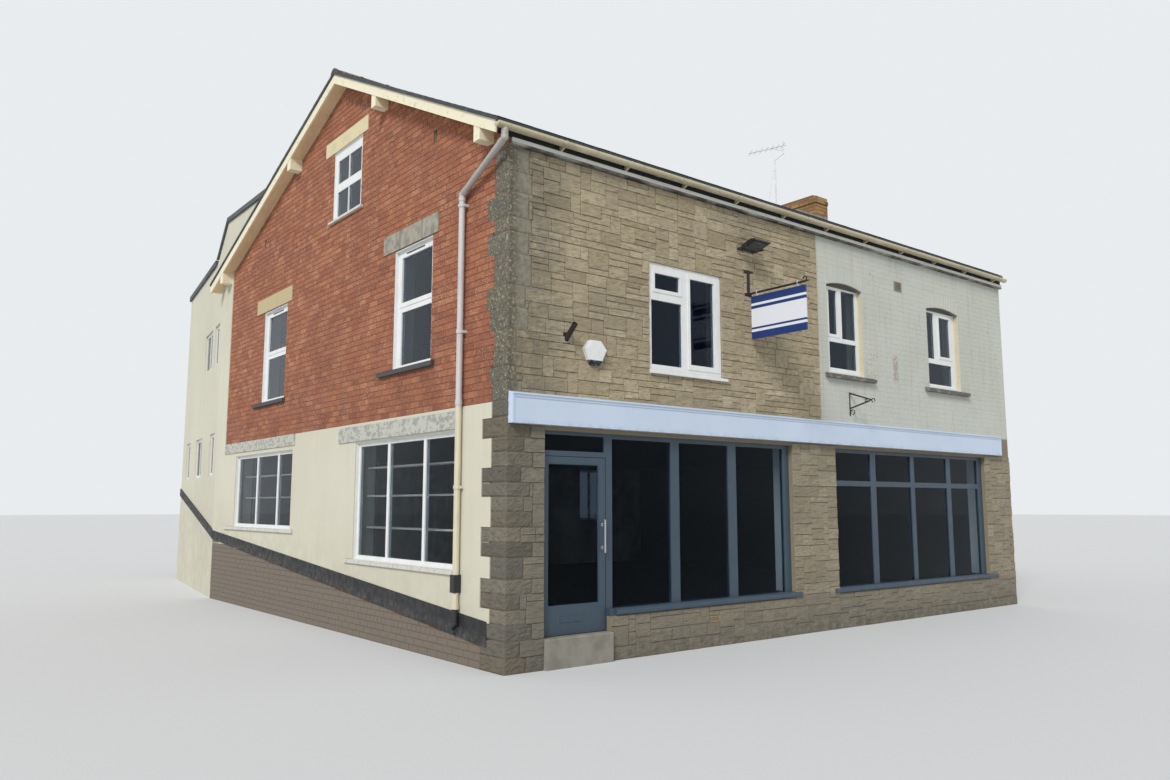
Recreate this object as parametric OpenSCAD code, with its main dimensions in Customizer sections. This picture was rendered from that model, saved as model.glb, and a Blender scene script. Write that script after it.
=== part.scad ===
// Corner shop: two storeys and an attic under a gabled roof, with a rendered rear wing.
// The front faces -Y and the gable faces -X. Z = 0 is the lowest ground point.
// Origin: the street corner where the front wall and the gable wall meet.

/* [Main block] */
// Length of the front, from the street corner to the party wall
block_l = 11320; // [9000:10:14000]
// Depth of the gable wall
block_d = 10400; // [9000:10:12000]
// Thickness of the outer walls
wall_t = 330; // [220:5:600]
// Thickness of the party wall
party_t = 230; // [100:5:400]
// Where the stone-faced part of the front ends and the painted brick begins
stone_l = 5640; // [4000:10:8000]
// Top of the shop floor above the lowest ground
shop_floor_z = 338; // [150:1:600]
// Top of the first floor
first_floor_z = 2921; // [2600:1:3400]
// Top of the attic floor
attic_floor_z = 5650; // [5200:1:5900]
// Thickness of the upper floors
floor_t = 180; // [100:5:300]

/* [Gable render] */
// Top of the render on the gable
render_z = 2973; // [2950:1:3100]
// Reach of the long corner stones along the gable
quoin_long = 480; // [400:5:600]
// Reach of the short corner stones
quoin_short = 285; // [200:5:330]
// Where the rendered strip at the rear end of the gable begins
strip_y = 9840; // [9800:10:10000]

/* [Roof] */
// Place of the ridge behind the front wall
ridge_y = 4650; // [4000:10:6000]
// Height of the ridge
ridge_z = 8570; // [7500:10:9500]
// Front edge of the roof covering
eave_y = -100; // [-300:5:0]
// Height of the covering at its front edge
eave_z = 6170; // [5900:5:6400]
// Rear edge of the roof covering
rear_y = 10680; // [10400:10:11000]
// Height of the covering at its rear edge
rear_z = 6315; // [5900:5:6700]
// Thickness of the roof covering, measured upright
cover_t = 42; // [20:1:80]
// Depth of rafters and boards under the covering, measured upright
deck_t = 148; // [80:1:250]
// How far the verge stands out from the gable wall
verge = 215; // [100:5:400]
// Thickness of the barge boards
board_t = 25; // [15:1:40]
// Radius of the ridge tiles
ridge_r = 105; // [60:5:160]

/* [Shop front] */
// Underside of the beam over the shop front
beam_z = 2665; // [2400:5:2900]
// Top of the beam, where the upper front wall begins
wall_z = 3034; // [2800:1:3300]
// Left side of the doorway
door_x = 519; // [300:1:900]
// Left edge of the left shop window
win_a0 = 1491; // [1200:1:1800]
// Right edge of the left shop window
win_a1 = 4930; // [4000:10:5500]
// Left edge of the right shop window
win_b0 = 5955; // [5600:5:6500]
// Right edge of the right shop window
win_b1 = 10404; // [9500:1:10800]
// Top of the walls under the shop windows
riser_z = 512; // [350:1:900]
// Height of the window sills on these walls
sill_h = 83; // [40:1:120]
// Distance of the shop window frames behind the wall face
set_back = 62; // [20:1:150]
// Depth of the window frames
frame_d = 55; // [35:1:120]
// Depth of a frame in front of its glass
bead_d = 18; // [8:1:40]
// Thickness of the glass
glass_t = 8; // [4:1:20]
// Projection of the long sign board
sign_t = 95; // [30:5:200]

/* [Shop door] */
// Width of the door leaf
leaf_w = 920; // [750:1:1000]
// Height of the door leaf
leaf_h = 2026; // [1900:1:2200]
// Thickness of the door leaf
leaf_t = 45; // [35:1:60]
// Gap between the leaf and its frame
leaf_gap = 6; // [5:1:10]
// Width of the stile at the hinges
stile_hinge = 66; // [40:1:120]
// Width of the stile at the handle
stile_lock = 96; // [60:1:140]
// Height of the bottom rail
rail_low = 322; // [100:1:400]
// Height of the top rail
rail_top = 78; // [50:1:150]
// Radius of the upright bar of the door handle
bar_r = 14; // [8:1:20]
// Radius of the hinge knuckles
knuckle_r = 7; // [5:1:12]

/* [Upper windows] */
// Distance of the low frames behind the gable, and of those in the wing and the rear wall
gable_in = 40; // [10:1:120]
// Distance of the first floor frames behind the gable
upper_in = 50; // [10:1:120]
// Distance of the attic frame behind the gable
attic_in = 20; // [10:1:120]
// Thickness of the linings that cover the gable's reveals
lining_t = 12; // [5:1:40]
// How far an opening light's sash stands in front of its frame
sash_out = 9; // [4:1:30]
// Distance of the casement behind the stone front
casement_in = 8; // [0:1:60]
// Distance of the sash frames behind the painted wall
brick_recess = 82; // [20:1:150]
// Rise of the segmental heads in the painted wall
arch_rise = 62; // [20:1:120]

/* [Rear wing] */
// Turn of the wing's street wall from the line of the gable, in degrees
wing_turn = 8; // [0:0.5:15]
// Length of the wing along the street
wing_l = 5330; // [3000:10:8000]
// Width of the wing
wing_w = 5300; // [3000:10:8000]
// Thickness of the wing's walls
wing_t = 300; // [200:5:500]
// Top of the wing's walls
wing_z = 6980; // [6000:10:7600]
// Thickness of the wing's roof slab
wing_roof_t = 110; // [60:5:200]
// Top of the box dormer's walls
dormer_z = 7600; // [7000:10:8200]
// Width of the box dormer
dormer_w = 3700; // [2000:50:5000]
// Rear end of the dormer's falling roof
dormer_y = 11620; // [10800:10:12500]

/* [Chimney] */
// Width of the stack along the front
stack_w = 435; // [300:5:700]
// Front face of the stack
stack_y = 3845; // [3000:5:5000]
// Length of the stack
stack_l = 1600; // [600:50:2500]
// Top of the brickwork
stack_z = 8784; // [8400:1:9600]

/* [Rainwater goods] */
// Foot of the fascia board
fascia_low = 5930; // [5850:5:5950]
// Top of the fascia board: above it the rafter ends stand back in the dark
fascia_high = 6003; // [5990:1:6010]
// Radius of the half-round gutter
gutter_r = 56; // [40:1:80]
// Top of the gutter
gutter_z = 6096; // [6000:1:6120]
// How far the gutter runs beyond the verge
gutter_out = 27; // [20:1:120]
// Radius of the downpipe
pipe_r = 38; // [25:1:50]
// Axis of the downpipe in front of the gable
pipe_x = -67; // [-140:1:-65]
// Place of the upright pipe along the gable
pipe_y = 925; // [600:5:960]
// Axis of the gutter outlet, beyond the gable
outlet_x = -152; // [-200:1:-100]

/* [Hanging sign] */
// Place of the sign along the front
hang_x = 4055; // [3500:5:5000]
// Height of the rod that carries the sign
rod_z = 4765; // [4400:5:5200]
// Radius of the rod
rod_r = 15; // [8:1:20]
// Reach of the rod from the wall
rod_l = 1010; // [600:10:1300]
// Width of the sign
hang_w = 935; // [500:5:1200]
// Height of the sign
hang_h = 605; // [300:5:900]
// Thickness of the sign
hang_t = 28; // [15:1:60]

/* [Hidden] */
$fn = 32;
e = 1;
front_pitch = (ridge_z - eave_z) / (ridge_y - eave_y);
rear_pitch = (ridge_z - rear_z) / (rear_y - ridge_y);
under_t = cover_t + deck_t;
inner_r = block_l - party_t;
sill_z = riser_z + sill_h;
leaf_x = door_x + 28 + leaf_gap;
leaf_z = shop_floor_z + leaf_gap + 2;
head_z = leaf_z + leaf_h + leaf_gap;
leaf_y = set_back + 4;
hinge_at = [leaf_x + knuckle_r, leaf_y + leaf_t + knuckle_r - 1];
glass_y = set_back + bead_d;
frame_back = set_back + frame_d;
rear_frame_y = block_d - gable_in - frame_d;
gutter_y = eave_y + 35 - gutter_r - 6;
// Gap kept between faces that slope or turn
clear = 0.1;

white = "#F1F1EC";
cream = "#E9E0C4";
slate_blue = "#4F6376";
brick = "#A8502F";
stone = "#B29C71";
render_c = "#DDD3AE";
dark = "#23262A";

// Upper face of the roof covering at depth y
function roof_top(y) = y < ridge_y ? ridge_z - (ridge_y - y) * front_pitch
                                   : ridge_z - (y - ridge_y) * rear_pitch;
// Underside of the roof at depth y
function roof_under(y) = roof_top(y) - under_t;

// Height of the street at depth y along the gable
function street(y) = 379 + (y - 1015) * 0.0886;

// A box given by two corners
module box(a, b) { translate(a) cube(b - a); }

// A flat outline in X and Z, made thick along +Y from y0
module on_front(y0, t) {
  translate([0, y0 + t, 0]) rotate([90, 0, 0]) linear_extrude(t) children();
}

// A flat outline in Y and Z, made thick along +X from x0
module on_gable(x0, t) {
  translate([x0, 0, 0]) rotate([90, 0, 90]) linear_extrude(t) children();
}

// The frame of the wing's street wall: +Y runs along that wall
module on_wing() {
  translate([0, block_d, 0]) rotate([0, 0, -wing_turn]) children();
}

// Plan of the wing, drawn in by o on its three free sides
function wing_at(x, t) = [x * cos(wing_turn) + t * sin(wing_turn),
                          block_d - x * sin(wing_turn) + t * cos(wing_turn)];
function wing_corner(o) = [wing_w - o,
  block_d + (wing_l - o - (wing_w - o) * sin(wing_turn)) / cos(wing_turn)];
module wing_plan(o) {
  polygon([[o / cos(wing_turn), block_d], wing_at(o, wing_l - o), wing_corner(o), [wing_w - o, block_d]]);
}

// A rectangle [u0, v0, u1, v1]
module rect(r) { translate([r[0], r[1]]) square([r[2] - r[0], r[3] - r[1]]); }

// A window frame: an outer rectangle with its lights cut out
module sash(outer, lights) {
  difference() {
    rect(outer);
    for (l = lights) rect(l);
  }
}

// A frame drawn in X and Z, from y0, in two layers with room for the glass between them
module front_frame(y0) {
  on_front(y0, bead_d) children();
  on_front(y0 + bead_d + glass_t, frame_d - bead_d - glass_t) children();
}

// The same for a frame drawn in Y and Z, from x0
module gable_frame(x0 = gable_in) {
  on_gable(x0, bead_d) children();
  on_gable(x0 + bead_d + glass_t, frame_d - bead_d - glass_t) children();
}

// A rectangle wider by w on every side
function grown(r, w) = [r[0] - w, r[1] - w, r[2] + w, r[3] + w];

// A band that follows both roof slopes, top below the covering's upper face, thick upright
module slope_band(y0, y1, top, thick) {
  polygon([[y0, roof_top(y0) - top - thick], [ridge_y, ridge_z - top - thick],
           [y1, roof_top(y1) - top - thick], [y1, roof_top(y1) - top],
           [ridge_y, ridge_z - top], [y0, roof_top(y0) - top]]);
}

// Window openings: left, bottom, right, top
casement = [2158, 3524, 3489, 4919];
brick_wins = [[5882, 3820, 6796, 5204], [8705, 3820, 9738, 5204]];
gable_low = [[1087, 1056, 3864, 2696], [6294, 1415, 9143, 2721]];
gable_up = [[1746, 3640, 2803, 5279], [6831, 3640, 7944, 5279]];
attic_win = [3986, 6272, 5015, 7395];
attic_slots = [[1700, 6512, 1790, 6722], [8035, 6530, 8135, 6680]];
wing_low = [[460, 2409, 1080, 3280], [2150, 2409, 3130, 3280], [4050, 2409, 4710, 3280]];
wing_up = [[460, 4715, 1080, 5586], [1380, 4715, 2410, 5586]];
rear_wins = [[6500, 1415, 7500, 2721], [9000, 1415, 10000, 2721],
             [6500, 3640, 7500, 5000], [9000, 3640, 10000, 5000]];

// A window opening with a shallow segmental head
function arch_radius(r, rise) = (pow(r[2] - r[0], 2) / 4 + rise * rise) / (2 * rise);
module arched(r, rise) {
  rad = arch_radius(r, rise);
  rect(r);
  intersection() {
    translate([(r[0] + r[2]) / 2, r[3] + rise - rad]) circle(r = rad, $fn = 180);
    rect([r[0], r[3] - e, r[2], r[3] + rise + e]);
  }
}

// The filling under such a head, behind the flat top of the frame
module arch_filling(r, rise) {
  rad = arch_radius(r, rise); short = 60;
  intersection() {
    translate([(r[0] + r[2]) / 2, r[3] + rise - rad]) circle(r = rad - 2, $fn = 180);
    rect([r[0] + short, r[3], r[2] - short, r[3] + rise]);
  }
}

// The section of the front wall, from height z0 to the underside of the roof
module front_section(z0) {
  polygon([[0, z0], [wall_t, z0], [wall_t, roof_under(wall_t)], [0, roof_under(0)]]);
}

module front_wall_stone() {
  color(stone) difference() {
    on_gable(0, stone_l) front_section(wall_z);
    on_front(-e, wall_t + 2 * e) rect(casement);
  }
}

module front_wall_painted() {
  color(cream) difference() {
    on_gable(stone_l, block_l - stone_l) front_section(wall_z);
    for (r = brick_wins) on_front(-e, wall_t + 2 * e) arched(r, arch_rise);
  }
  color(cream) for (r = brick_wins)
    on_front(brick_recess + bead_d, wall_t - brick_recess - bead_d) arch_filling(r, arch_rise);
}

module shop_beam() {
  color(stone) box([0, 0, beam_z], [block_l, wall_t, wall_z]);
}

module shop_piers() {
  color(stone) {
    box([0, 0, 0], [door_x, wall_t, beam_z]);
    box([win_a1, 0, 0], [win_b0, wall_t, beam_z]);
    box([win_b1, 0, 0], [block_l, wall_t, beam_z]);
  }
}

module stall_risers() {
  color(stone) {
    box([win_a0, 0, 0], [win_a1, wall_t, riser_z]);
    box([win_b0, 0, 0], [win_b1, wall_t, riser_z]);
  }
}

module door_step() {
  color("#8C8A84") difference() {
    box([door_x, -60, 0], [win_a0, wall_t, shop_floor_z]);
    translate([door_x - e, -60, shop_floor_z]) rotate([45, 0, 0])
      translate([0, -12, -12]) cube([win_a0, 24, 24]);
  }
}

// The long board over the shop: a bare face with a raised edge and a sloping cap
module sign_board() {
  z0 = 2716; z1 = wall_z; edge = 26;
  color(white) difference() {
    on_gable(15, 10890) polygon([[0, z0], [-sign_t, z0], [-sign_t, z1], [-sign_t - 14, z1 + 6],
                                 [-sign_t - 14, z1 + 20], [0, z1 + 44]]);
    box([15 + edge, -sign_t - e, z0 + edge], [10905 - edge, -sign_t + 8, z1 - edge]);
  }
}

// Posts, rails and sills of the two shop windows
module shop_windows() {
  a = [[1579, sill_z, 2563, 2610], [2716, sill_z, 3639, 2610], [3803, sill_z, 4790, 2610]];
  b = [[6030, 6950], [7093, 8087], [8200, 9205], [9338, 10250]];
  nose_r = 20;
  color(slate_blue) {
    front_frame(set_back) sash([win_a0, sill_z, win_a1, beam_z], a);
    front_frame(set_back) difference() {
      rect([win_b0, sill_z, win_b1, beam_z]);
      for (m = b) {
        rect([m[0], sill_z, m[1], 2101]);
        rect([m[0], 2183, m[1], 2610]);
      }
    }
    for (s = [[win_a0, win_a1, 1568, 5053], [win_b0, win_b1, 5832, 10660]]) {
      box([s[0], 0, riser_z], [s[1], 210, sill_z]);
      on_gable(s[2], s[3] - s[2])
        polygon(concat([[0, riser_z + 14], [-34, riser_z + 14], [-38, riser_z + 18]],
          [for (a = [180 : -15 : 100]) [nose_r * (1 + cos(a)) - 38, sill_z - 14 - nose_r * (1 - sin(a))]],
          [[0, sill_z]]));
    }
  }
}

// The light over the shop door
door_light = [door_x + 40, head_z + 62, win_a0 - 40, beam_z - 40];

// Jambs, transom and top rail round the shop door
module door_frame() {
  color(slate_blue) {
    on_front(set_back, frame_d) difference() {
      rect([door_x, shop_floor_z, win_a0, beam_z]);
      rect([leaf_x - leaf_gap, shop_floor_z - e, leaf_x + leaf_w + leaf_gap + 2, head_z]);
      rect(door_light);
    }
    box([door_x, frame_back, head_z], [win_a0, frame_back + 30, head_z + 40]);
  }
}

module ground_floor_glass() {
  color([0.55, 0.66, 0.72, 0.4]) {
    for (r = [[win_a0, sill_z, win_a1, beam_z], [win_b0, sill_z, win_b1, beam_z], door_light])
      on_front(glass_y, glass_t) rect(r);
    for (r = gable_low) on_gable(gable_in + bead_d, glass_t) rect(r);
    for (r = wing_low) on_wing() on_gable(gable_in + bead_d, glass_t) rect(r);
  }
}

// The outline of the gable wall in Y and Z
module gable_outline(y0, y1, z0) {
  polygon([[y0, z0], [y1, z0], [y1, roof_under(y1)], [ridge_y, ridge_z - under_t],
           [y0, roof_under(y0)]]);
}

module gable_wall() {
  color(brick) difference() {
    on_gable(0, wall_t) gable_outline(wall_t, block_d, 0);
    for (r = concat(gable_low, gable_up, [attic_win])) on_gable(-e, wall_t + 2 * e) rect(r);
    on_gable(-e, 120) for (r = attic_slots) rect(r);
  }
}

// Outline of the black painted plinth on the gable: a band just over the rising street
module plinth_outline() {
  polygon([[wall_t, street(wall_t) - 60], [block_d, street(block_d) - 60],
           [block_d, street(block_d) + 108], [wall_t, street(wall_t) + 214]]);
}

// The two worn bands over the ground floor windows, the second raised by o
module bands(o = 0) {
  rect([1025, 2716, 4438, 2931]);
  rect([6201, 2788, 9789, render_z + o]);
}

// The render meets the long and short corner stones in teeth
module gable_render() {
  teeth = [[517, 675], [1003, 1239], [1568, 1903], [2230, 2560], [2790, render_z]];
  color(render_c) on_gable(-16, 16) difference() {
    union() {
      polygon([[quoin_long, street(wall_t)], [strip_y + e, street(strip_y)], [strip_y + e, render_z],
               [quoin_long, render_z]]);
      for (t = teeth) rect([quoin_short, t[0], quoin_long + e, t[1]]);
      polygon([[strip_y, street(strip_y)], [block_d, street(strip_y)], [block_d, roof_under(block_d)],
               [strip_y, roof_under(strip_y)]]);
    }
    plinth_outline();
    bands(e);
    for (r = gable_low) rect(r);
    rect([1040, 1000, 4100, 1056 + e]);
    rect([6150, 1360, 9635, 1415 + e]);
  }
}

module gable_lintels() {
  color("#B9B49F") {
    on_gable(-34, 34) bands();
    on_gable(-18, 18) {
      rect([1599, 5290, 3137, 5552]);
      rect([6616, 5290, 8333, 5552]);
      rect([3793, 7395, 5340, 7626]);
    }
  }
}

// A weathered sill on the gable: it falls to the street and has a drip edge
module gable_sill(y0, y1, z, h, out) {
  translate([0, y1, 0]) rotate([90, 0, 0]) linear_extrude(y1 - y0)
    polygon([[0, z - h], [-out, z - h], [-out, z - 14], [0, z]]);
}

module window_sills() {
  color("#5B5F62") {
    gable_sill(1640, 3178, 3630, 70, 60);
    gable_sill(6765, 8303, 3630, 70, 60);
    gable_sill(3900, 5100, 6268, 45, 50);
    gable_sill(1040, 4100, 1056, 56, 50);
    gable_sill(6150, 9635, 1415, 55, 50);
    for (s = [[5791, 7042], [8559, 9943]])
      on_gable(s[0], s[1] - s[0]) polygon([[0, 3741], [-70, 3741], [-70, 3796], [0, 3820]]);
  }
}

module plinth() {
  color(dark) {
    on_gable(-24, 24) plinth_outline();
    difference() {
      on_wing() on_gable(-24, 24)
        polygon([[-60, street(block_d) - 60], [wing_l, 2040], [wing_l, 2215],
                 [-60, street(block_d) + 108]]);
      box([-900, block_d - 900, -e], [900, block_d, 3000]);
    }
  }
}

// White frames of the gable. Linings cover the reveals; the upper lights of the first floor open
module gable_windows() {
  m = 58; top_light = [4540, 5169]; low_light = [3682, 4410];
  color(white) {
    gable_frame() for (i = [0, 1]) {
      r = gable_low[i];
      c = i == 0 ? [1917, 2921] : [7072, 8097];
      sash(r, [[r[0] + m, r[1] + m, c[0] - 32, r[3] - m], [c[0] + 32, r[1] + m, c[1] - 32, r[3] - m],
               [c[1] + 32, r[1] + m, r[2] - m, r[3] - m]]);
    }
    for (r = gable_up) {
      light = [r[0] + 90, top_light[0], r[2] - 130, top_light[1]];
      gable_frame(upper_in) sash(r, [light, [light[0], low_light[0], light[2], low_light[1]]]);
      on_gable(upper_in - sash_out, sash_out) sash(grown(light, 60), [light]);
    }
    gable_frame(attic_in) difference() {
      r = attic_win; mid = (r[0] + r[2]) / 2;
      rect(r);
      for (y = [[r[0] + 75, mid - 12], [mid + 12, r[2] - 110]]) {
        rect([y[0], 6317, y[1], 6718]);
        rect([y[0], 6853, y[1], 7234]);
      }
    }
    for (w = concat([for (r = gable_low) [r, gable_in]], [for (r = gable_up) [r, upper_in]],
                    [[attic_win, attic_in]]))
      on_gable(2, w[1] - 2) sash(w[0], [grown(w[0], -lining_t)]);
  }
}

// White frames of the first floor front. The casement stands on a projecting sill
module front_windows() {
  top_light = [2265, 4583, 2709, 4789]; low_light = [2205, 3593, 2748, 4435];
  side_light = [2904, 3646, 3358, 4805];
  // For each window in the painted wall: left light, right light, bottom light, and the one that opens
  brick_lights = [
    [[6028, 4453, 6240, 5158], [6365, 4407, 6725, 5175], [6028, 3924, 6725, 4335], 0],
    [[8830, 4357, 9063, 5175], [9227, 4417, 9580, 5120], [8830, 3906, 9598, 4273], 1]];
  color(white) {
    front_frame(casement_in) sash(casement, [top_light, low_light, side_light]);
    on_front(casement_in - sash_out, sash_out) {
      sash(grown(top_light, 44), [top_light]);
      sash([2854, 3578, 3440, 4873], [side_light]);
    }
    on_gable(2150, 1410) polygon([[0, 3470], [-55, 3470], [-55, 3505], [0, 3524]]);
    for (i = [0, 1]) {
      r = brick_wins[i]; lights = brick_lights[i]; sash_light = lights[lights[3]];
      front_frame(brick_recess) sash(r, [lights[0], lights[1], lights[2]]);
      on_front(brick_recess - sash_out, sash_out) sash(grown(sash_light, 44), [sash_light]);
      on_gable(r[0], r[2] - r[0])
        polygon([[-6, 3820], [brick_recess, 3820], [brick_recess, 3868], [-6, 3842]]);
    }
  }
}

module rear_windows() {
  m = 60;
  color(white) {
    on_wing() gable_frame() for (r = concat(wing_low, wing_up)) {
      mid = (r[0] + r[2]) / 2;
      sash(r, [[r[0] + m, r[1] + m, mid - 25, r[3] - m], [mid + 25, r[1] + m, r[2] - m, r[3] - m]]);
    }
    front_frame(rear_frame_y) for (r = rear_wins) {
      mid = (r[0] + r[2]) / 2;
      sash(r, [[r[0] + m, r[1] + m, mid - 25, r[3] - m], [mid + 25, r[1] + m, r[2] - m, r[3] - m]]);
    }
  }
}

module upper_glass() {
  color([0.55, 0.66, 0.72, 0.4]) {
    on_front(casement_in + bead_d, glass_t) rect(casement);
    for (r = brick_wins) on_front(brick_recess + bead_d, glass_t) rect(r);
    for (r = gable_up) on_gable(upper_in + bead_d, glass_t) rect(r);
    on_gable(attic_in + bead_d, glass_t) rect(attic_win);
    for (r = wing_up) on_wing() on_gable(gable_in + bead_d, glass_t) rect(r);
    for (r = rear_wins) on_front(rear_frame_y + bead_d, glass_t) rect(r);
  }
}

// Shelves in the gable's ground floor windows, and the boards that line the shop windows' ends
module window_boards() {
  board = 25;
  levels = [[1486, 1927, 2327], [1930, 2320]];
  color("#D9CFAE") {
    for (i = [0, 1], z = levels[i])
      box([190, gable_low[i][0], z], [320, gable_low[i][2], z + board]);
    for (x = [win_a1, win_b1]) box([x - board, frame_back, sill_z], [x, wall_t, beam_z]);
  }
}

module rear_wall() {
  color(render_c) difference() {
    on_gable(wall_t, inner_r - wall_t)
      polygon([[block_d - wall_t, 0], [block_d, 0], [block_d, roof_under(block_d) - clear],
               [block_d - wall_t, roof_under(block_d - wall_t) - clear]]);
    for (r = rear_wins) on_front(block_d - wall_t - e, wall_t + 2 * e) rect(r);
  }
}

// Plain party wall, stepped down under the chimney stack
module party_wall() {
  color("#9A6A4E") on_gable(inner_r, party_t) difference() {
    gable_outline(wall_t, block_d, 0);
    rect([stack_y, 7500, stack_y + stack_l, ridge_z]);
  }
}

module wing_side_wall() {
  color(render_c) difference() {
    intersection() {
      on_wing() box([0, -200, 0], [wing_t, wing_l, dormer_z]);
      on_gable(-200, 2000)
        polygon([[block_d, 0], [block_d + wing_l, 0], [block_d + wing_l, wing_z],
                 [dormer_y, wing_z], [block_d, dormer_z]]);
    }
    for (r = concat(wing_low, wing_up)) on_wing() on_gable(-e, wing_t + 2 * e) rect(r);
  }
}

// End wall and yard wall of the wing, joined at their corner
module wing_rear_walls() {
  color(render_c) linear_extrude(wing_z)
    polygon([wing_at(wing_t + clear, wing_l), wing_corner(0), [wing_w, block_d], [wing_w - wing_t, block_d],
             wing_corner(wing_t), wing_at(wing_t + clear, wing_l - wing_t)]);
}

// Flat roof of the wing, and the roof of the dormer that falls to it
module wing_roof() {
  over = 45; t = 95;
  top_y = ridge_y + (ridge_z - dormer_z) / rear_pitch;
  fall = (dormer_z - wing_z) / (dormer_y - block_d);
  low_y = dormer_y - wing_roof_t / fall;
  color("#3B3D40") translate([0, 0, clear]) {
    translate([0, 0, wing_z]) linear_extrude(wing_roof_t) difference() {
      wing_plan(-over);
      polygon([[-400, block_d - e], [wing_t / cos(wing_turn), block_d - e],
               [wing_t / cos(wing_turn) + (dormer_y - block_d) * tan(wing_turn), dormer_y],
               [-400, dormer_y]]);
    }
    on_gable(-40, dormer_w + 80)
      polygon([[top_y - t / rear_pitch, dormer_z + t], [top_y, dormer_z],
               [block_d, dormer_z], [block_d, dormer_z + t]]);
    difference() {
      on_gable(-400, dormer_w + 440)
        polygon([[block_d, dormer_z], [low_y, wing_z + wing_roof_t],
                 [low_y + 90 / fall, wing_z + wing_roof_t], [block_d, dormer_z + t]]);
      on_wing() box([-3000, -3000, 0], [-40, 3000, 9000]);
    }
  }
}

// Rendered cheeks of the box dormer that joins the wing to the main roof
module dormer() {
  tail = wing_z + wing_roof_t + clear;
  fall = (dormer_z - wing_z) / (dormer_y - block_d);
  top_y = ridge_y + (ridge_z - dormer_z) / rear_pitch;
  color(render_c) {
    for (x = [0, dormer_w - 140]) on_gable(x, 140)
      polygon([[top_y, dormer_z], [block_d, roof_top(block_d)], [block_d, dormer_z]]);
    on_gable(dormer_w - 140, 140)
      polygon([[block_d, tail], [block_d + (dormer_z - tail) / fall, tail], [block_d, dormer_z]]);
  }
}

// A floor of the wing, inside its walls
module wing_slab(z0, z1) {
  translate([0, 0, z0]) linear_extrude(z1 - z0) wing_plan(wing_t + clear);
}

module main_slab(z0, z1) {
  box([wall_t, wall_t, z0], [inner_r, block_d - wall_t, z1]);
}

module ground_floor() {
  color("#8B7B66") {
    main_slab(shop_floor_z - 200, shop_floor_z);
    wing_slab(1540, 1740);
  }
}

module upper_floors() {
  color("#8B7B66") {
    main_slab(first_floor_z - floor_t, first_floor_z);
    main_slab(attic_floor_z - floor_t, attic_floor_z);
    wing_slab(3946 - floor_t, 3946);
  }
}

// Where the stack passes the roof
module stack_hole() {
  box([block_l - stack_w, stack_y, 7400], [block_l + e, stack_y + stack_l, 9000]);
}

// Where the wing stands against the rear eave
module wing_notch() {
  box([0, block_d, 5000], [wing_w + 60, rear_y + 100, 8000]);
}

module roof_covering() {
  color(dark) difference() {
    union() {
      on_gable(-verge - 20, block_l + verge + 20) slope_band(eave_y, rear_y, 0, cover_t);
      intersection() {
        translate([-verge - 20, ridge_y, ridge_z - 62]) rotate([0, 90, 0])
          cylinder(r = ridge_r, h = block_l + verge + 20);
        on_gable(-verge - 20, block_l + verge + 20)
          polygon([[ridge_y, ridge_z - e], [ridge_y - 300, roof_top(ridge_y - 300) - e],
                   [ridge_y - 300, ridge_z + 200], [ridge_y + 300, ridge_z + 200],
                   [ridge_y + 300, roof_top(ridge_y + 300) - e]]);
      }
    }
    stack_hole();
    wing_notch();
  }
}

module roof_deck() {
  color("#C9B48A") difference() {
    on_gable(-verge + board_t, block_l + verge - board_t)
      slope_band(eave_y + 60, rear_y - 40, cover_t + clear, deck_t - clear);
    stack_hole();
    wing_notch();
  }
}

// Barge boards on the verge and the boxed purlin ends under them
module barge_boards() {
  color(cream) {
    on_gable(-verge, board_t) slope_band(eave_y + 70, rear_y, cover_t + clear, deck_t);
    // Middle, width and distance from the brickwork
    for (p = [[390, 135, 0], [3218, 135, 0], [6500, 150, 0], [9990, 170, 16]]) {
      y0 = p[0] - p[1] / 2; y1 = p[0] + p[1] / 2;
      low = min(roof_under(y0), roof_under(y1)) - 140;
      on_gable(-verge + 8, verge - 8 - p[2])
        polygon([[y0, low], [y1, low], [y1, roof_under(y1) - clear], [y0, roof_under(y0) - clear]]);
    }
  }
}

// Fascia and soffit board of the front eave, and the fascia of the rear eave
module eave_boards() {
  under = cover_t + clear;
  color(white) {
    on_gable(0, block_l)
      polygon([[eave_y + 35, fascia_low], [0, fascia_low], [0, fascia_low + 18],
               [eave_y + 60, fascia_low + 18], [eave_y + 60, fascia_high], [eave_y + 35, fascia_high]]);
    difference() {
      on_gable(wing_w + 60, block_l - wing_w - 60)
        polygon([[rear_y - 40, roof_under(rear_y - 40)], [rear_y - 15, roof_under(rear_y - 15)],
                 [rear_y - 15, roof_top(rear_y - 15) - under],
                 [rear_y - 40, roof_top(rear_y - 40) - under]]);
      wing_notch();
    }
  }
}

// Half-round gutter with end stops, and a strap about every metre that reaches back to the deck
module gutter() {
  x0 = -verge - 20 - gutter_out; len = block_l - x0;
  to_deck = eave_y + 60 - gutter_y;
  color(cream) {
    difference() {
      translate([x0, gutter_y, gutter_z]) rotate([0, 90, 0]) cylinder(r = gutter_r, h = len);
      translate([x0 + 4, gutter_y, gutter_z]) rotate([0, 90, 0]) cylinder(r = gutter_r - 4, h = len - 8);
      box([x0 - e, gutter_y - 100, gutter_z], [block_l + e, gutter_y + 100, gutter_z + 100]);
    }
    for (i = [0 : 10]) translate([700 + i * 1025, gutter_y, gutter_z]) difference() {
      union() {
        translate([-14, 0, 0]) rotate([0, 90, 0]) cylinder(r = gutter_r + 7, h = 28);
        on_gable(-14, 28) polygon([[0, -gutter_r - 7], [62, fascia_high - gutter_z],
          [to_deck, fascia_high - gutter_z], [to_deck, 0], [0, 0]]);
      }
      translate([-15, 0, 0]) rotate([0, 90, 0]) cylinder(r = gutter_r - 1, h = 30);
      box([-20, -100, 0], [20, 100, 100]);
    }
  }
}

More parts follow.
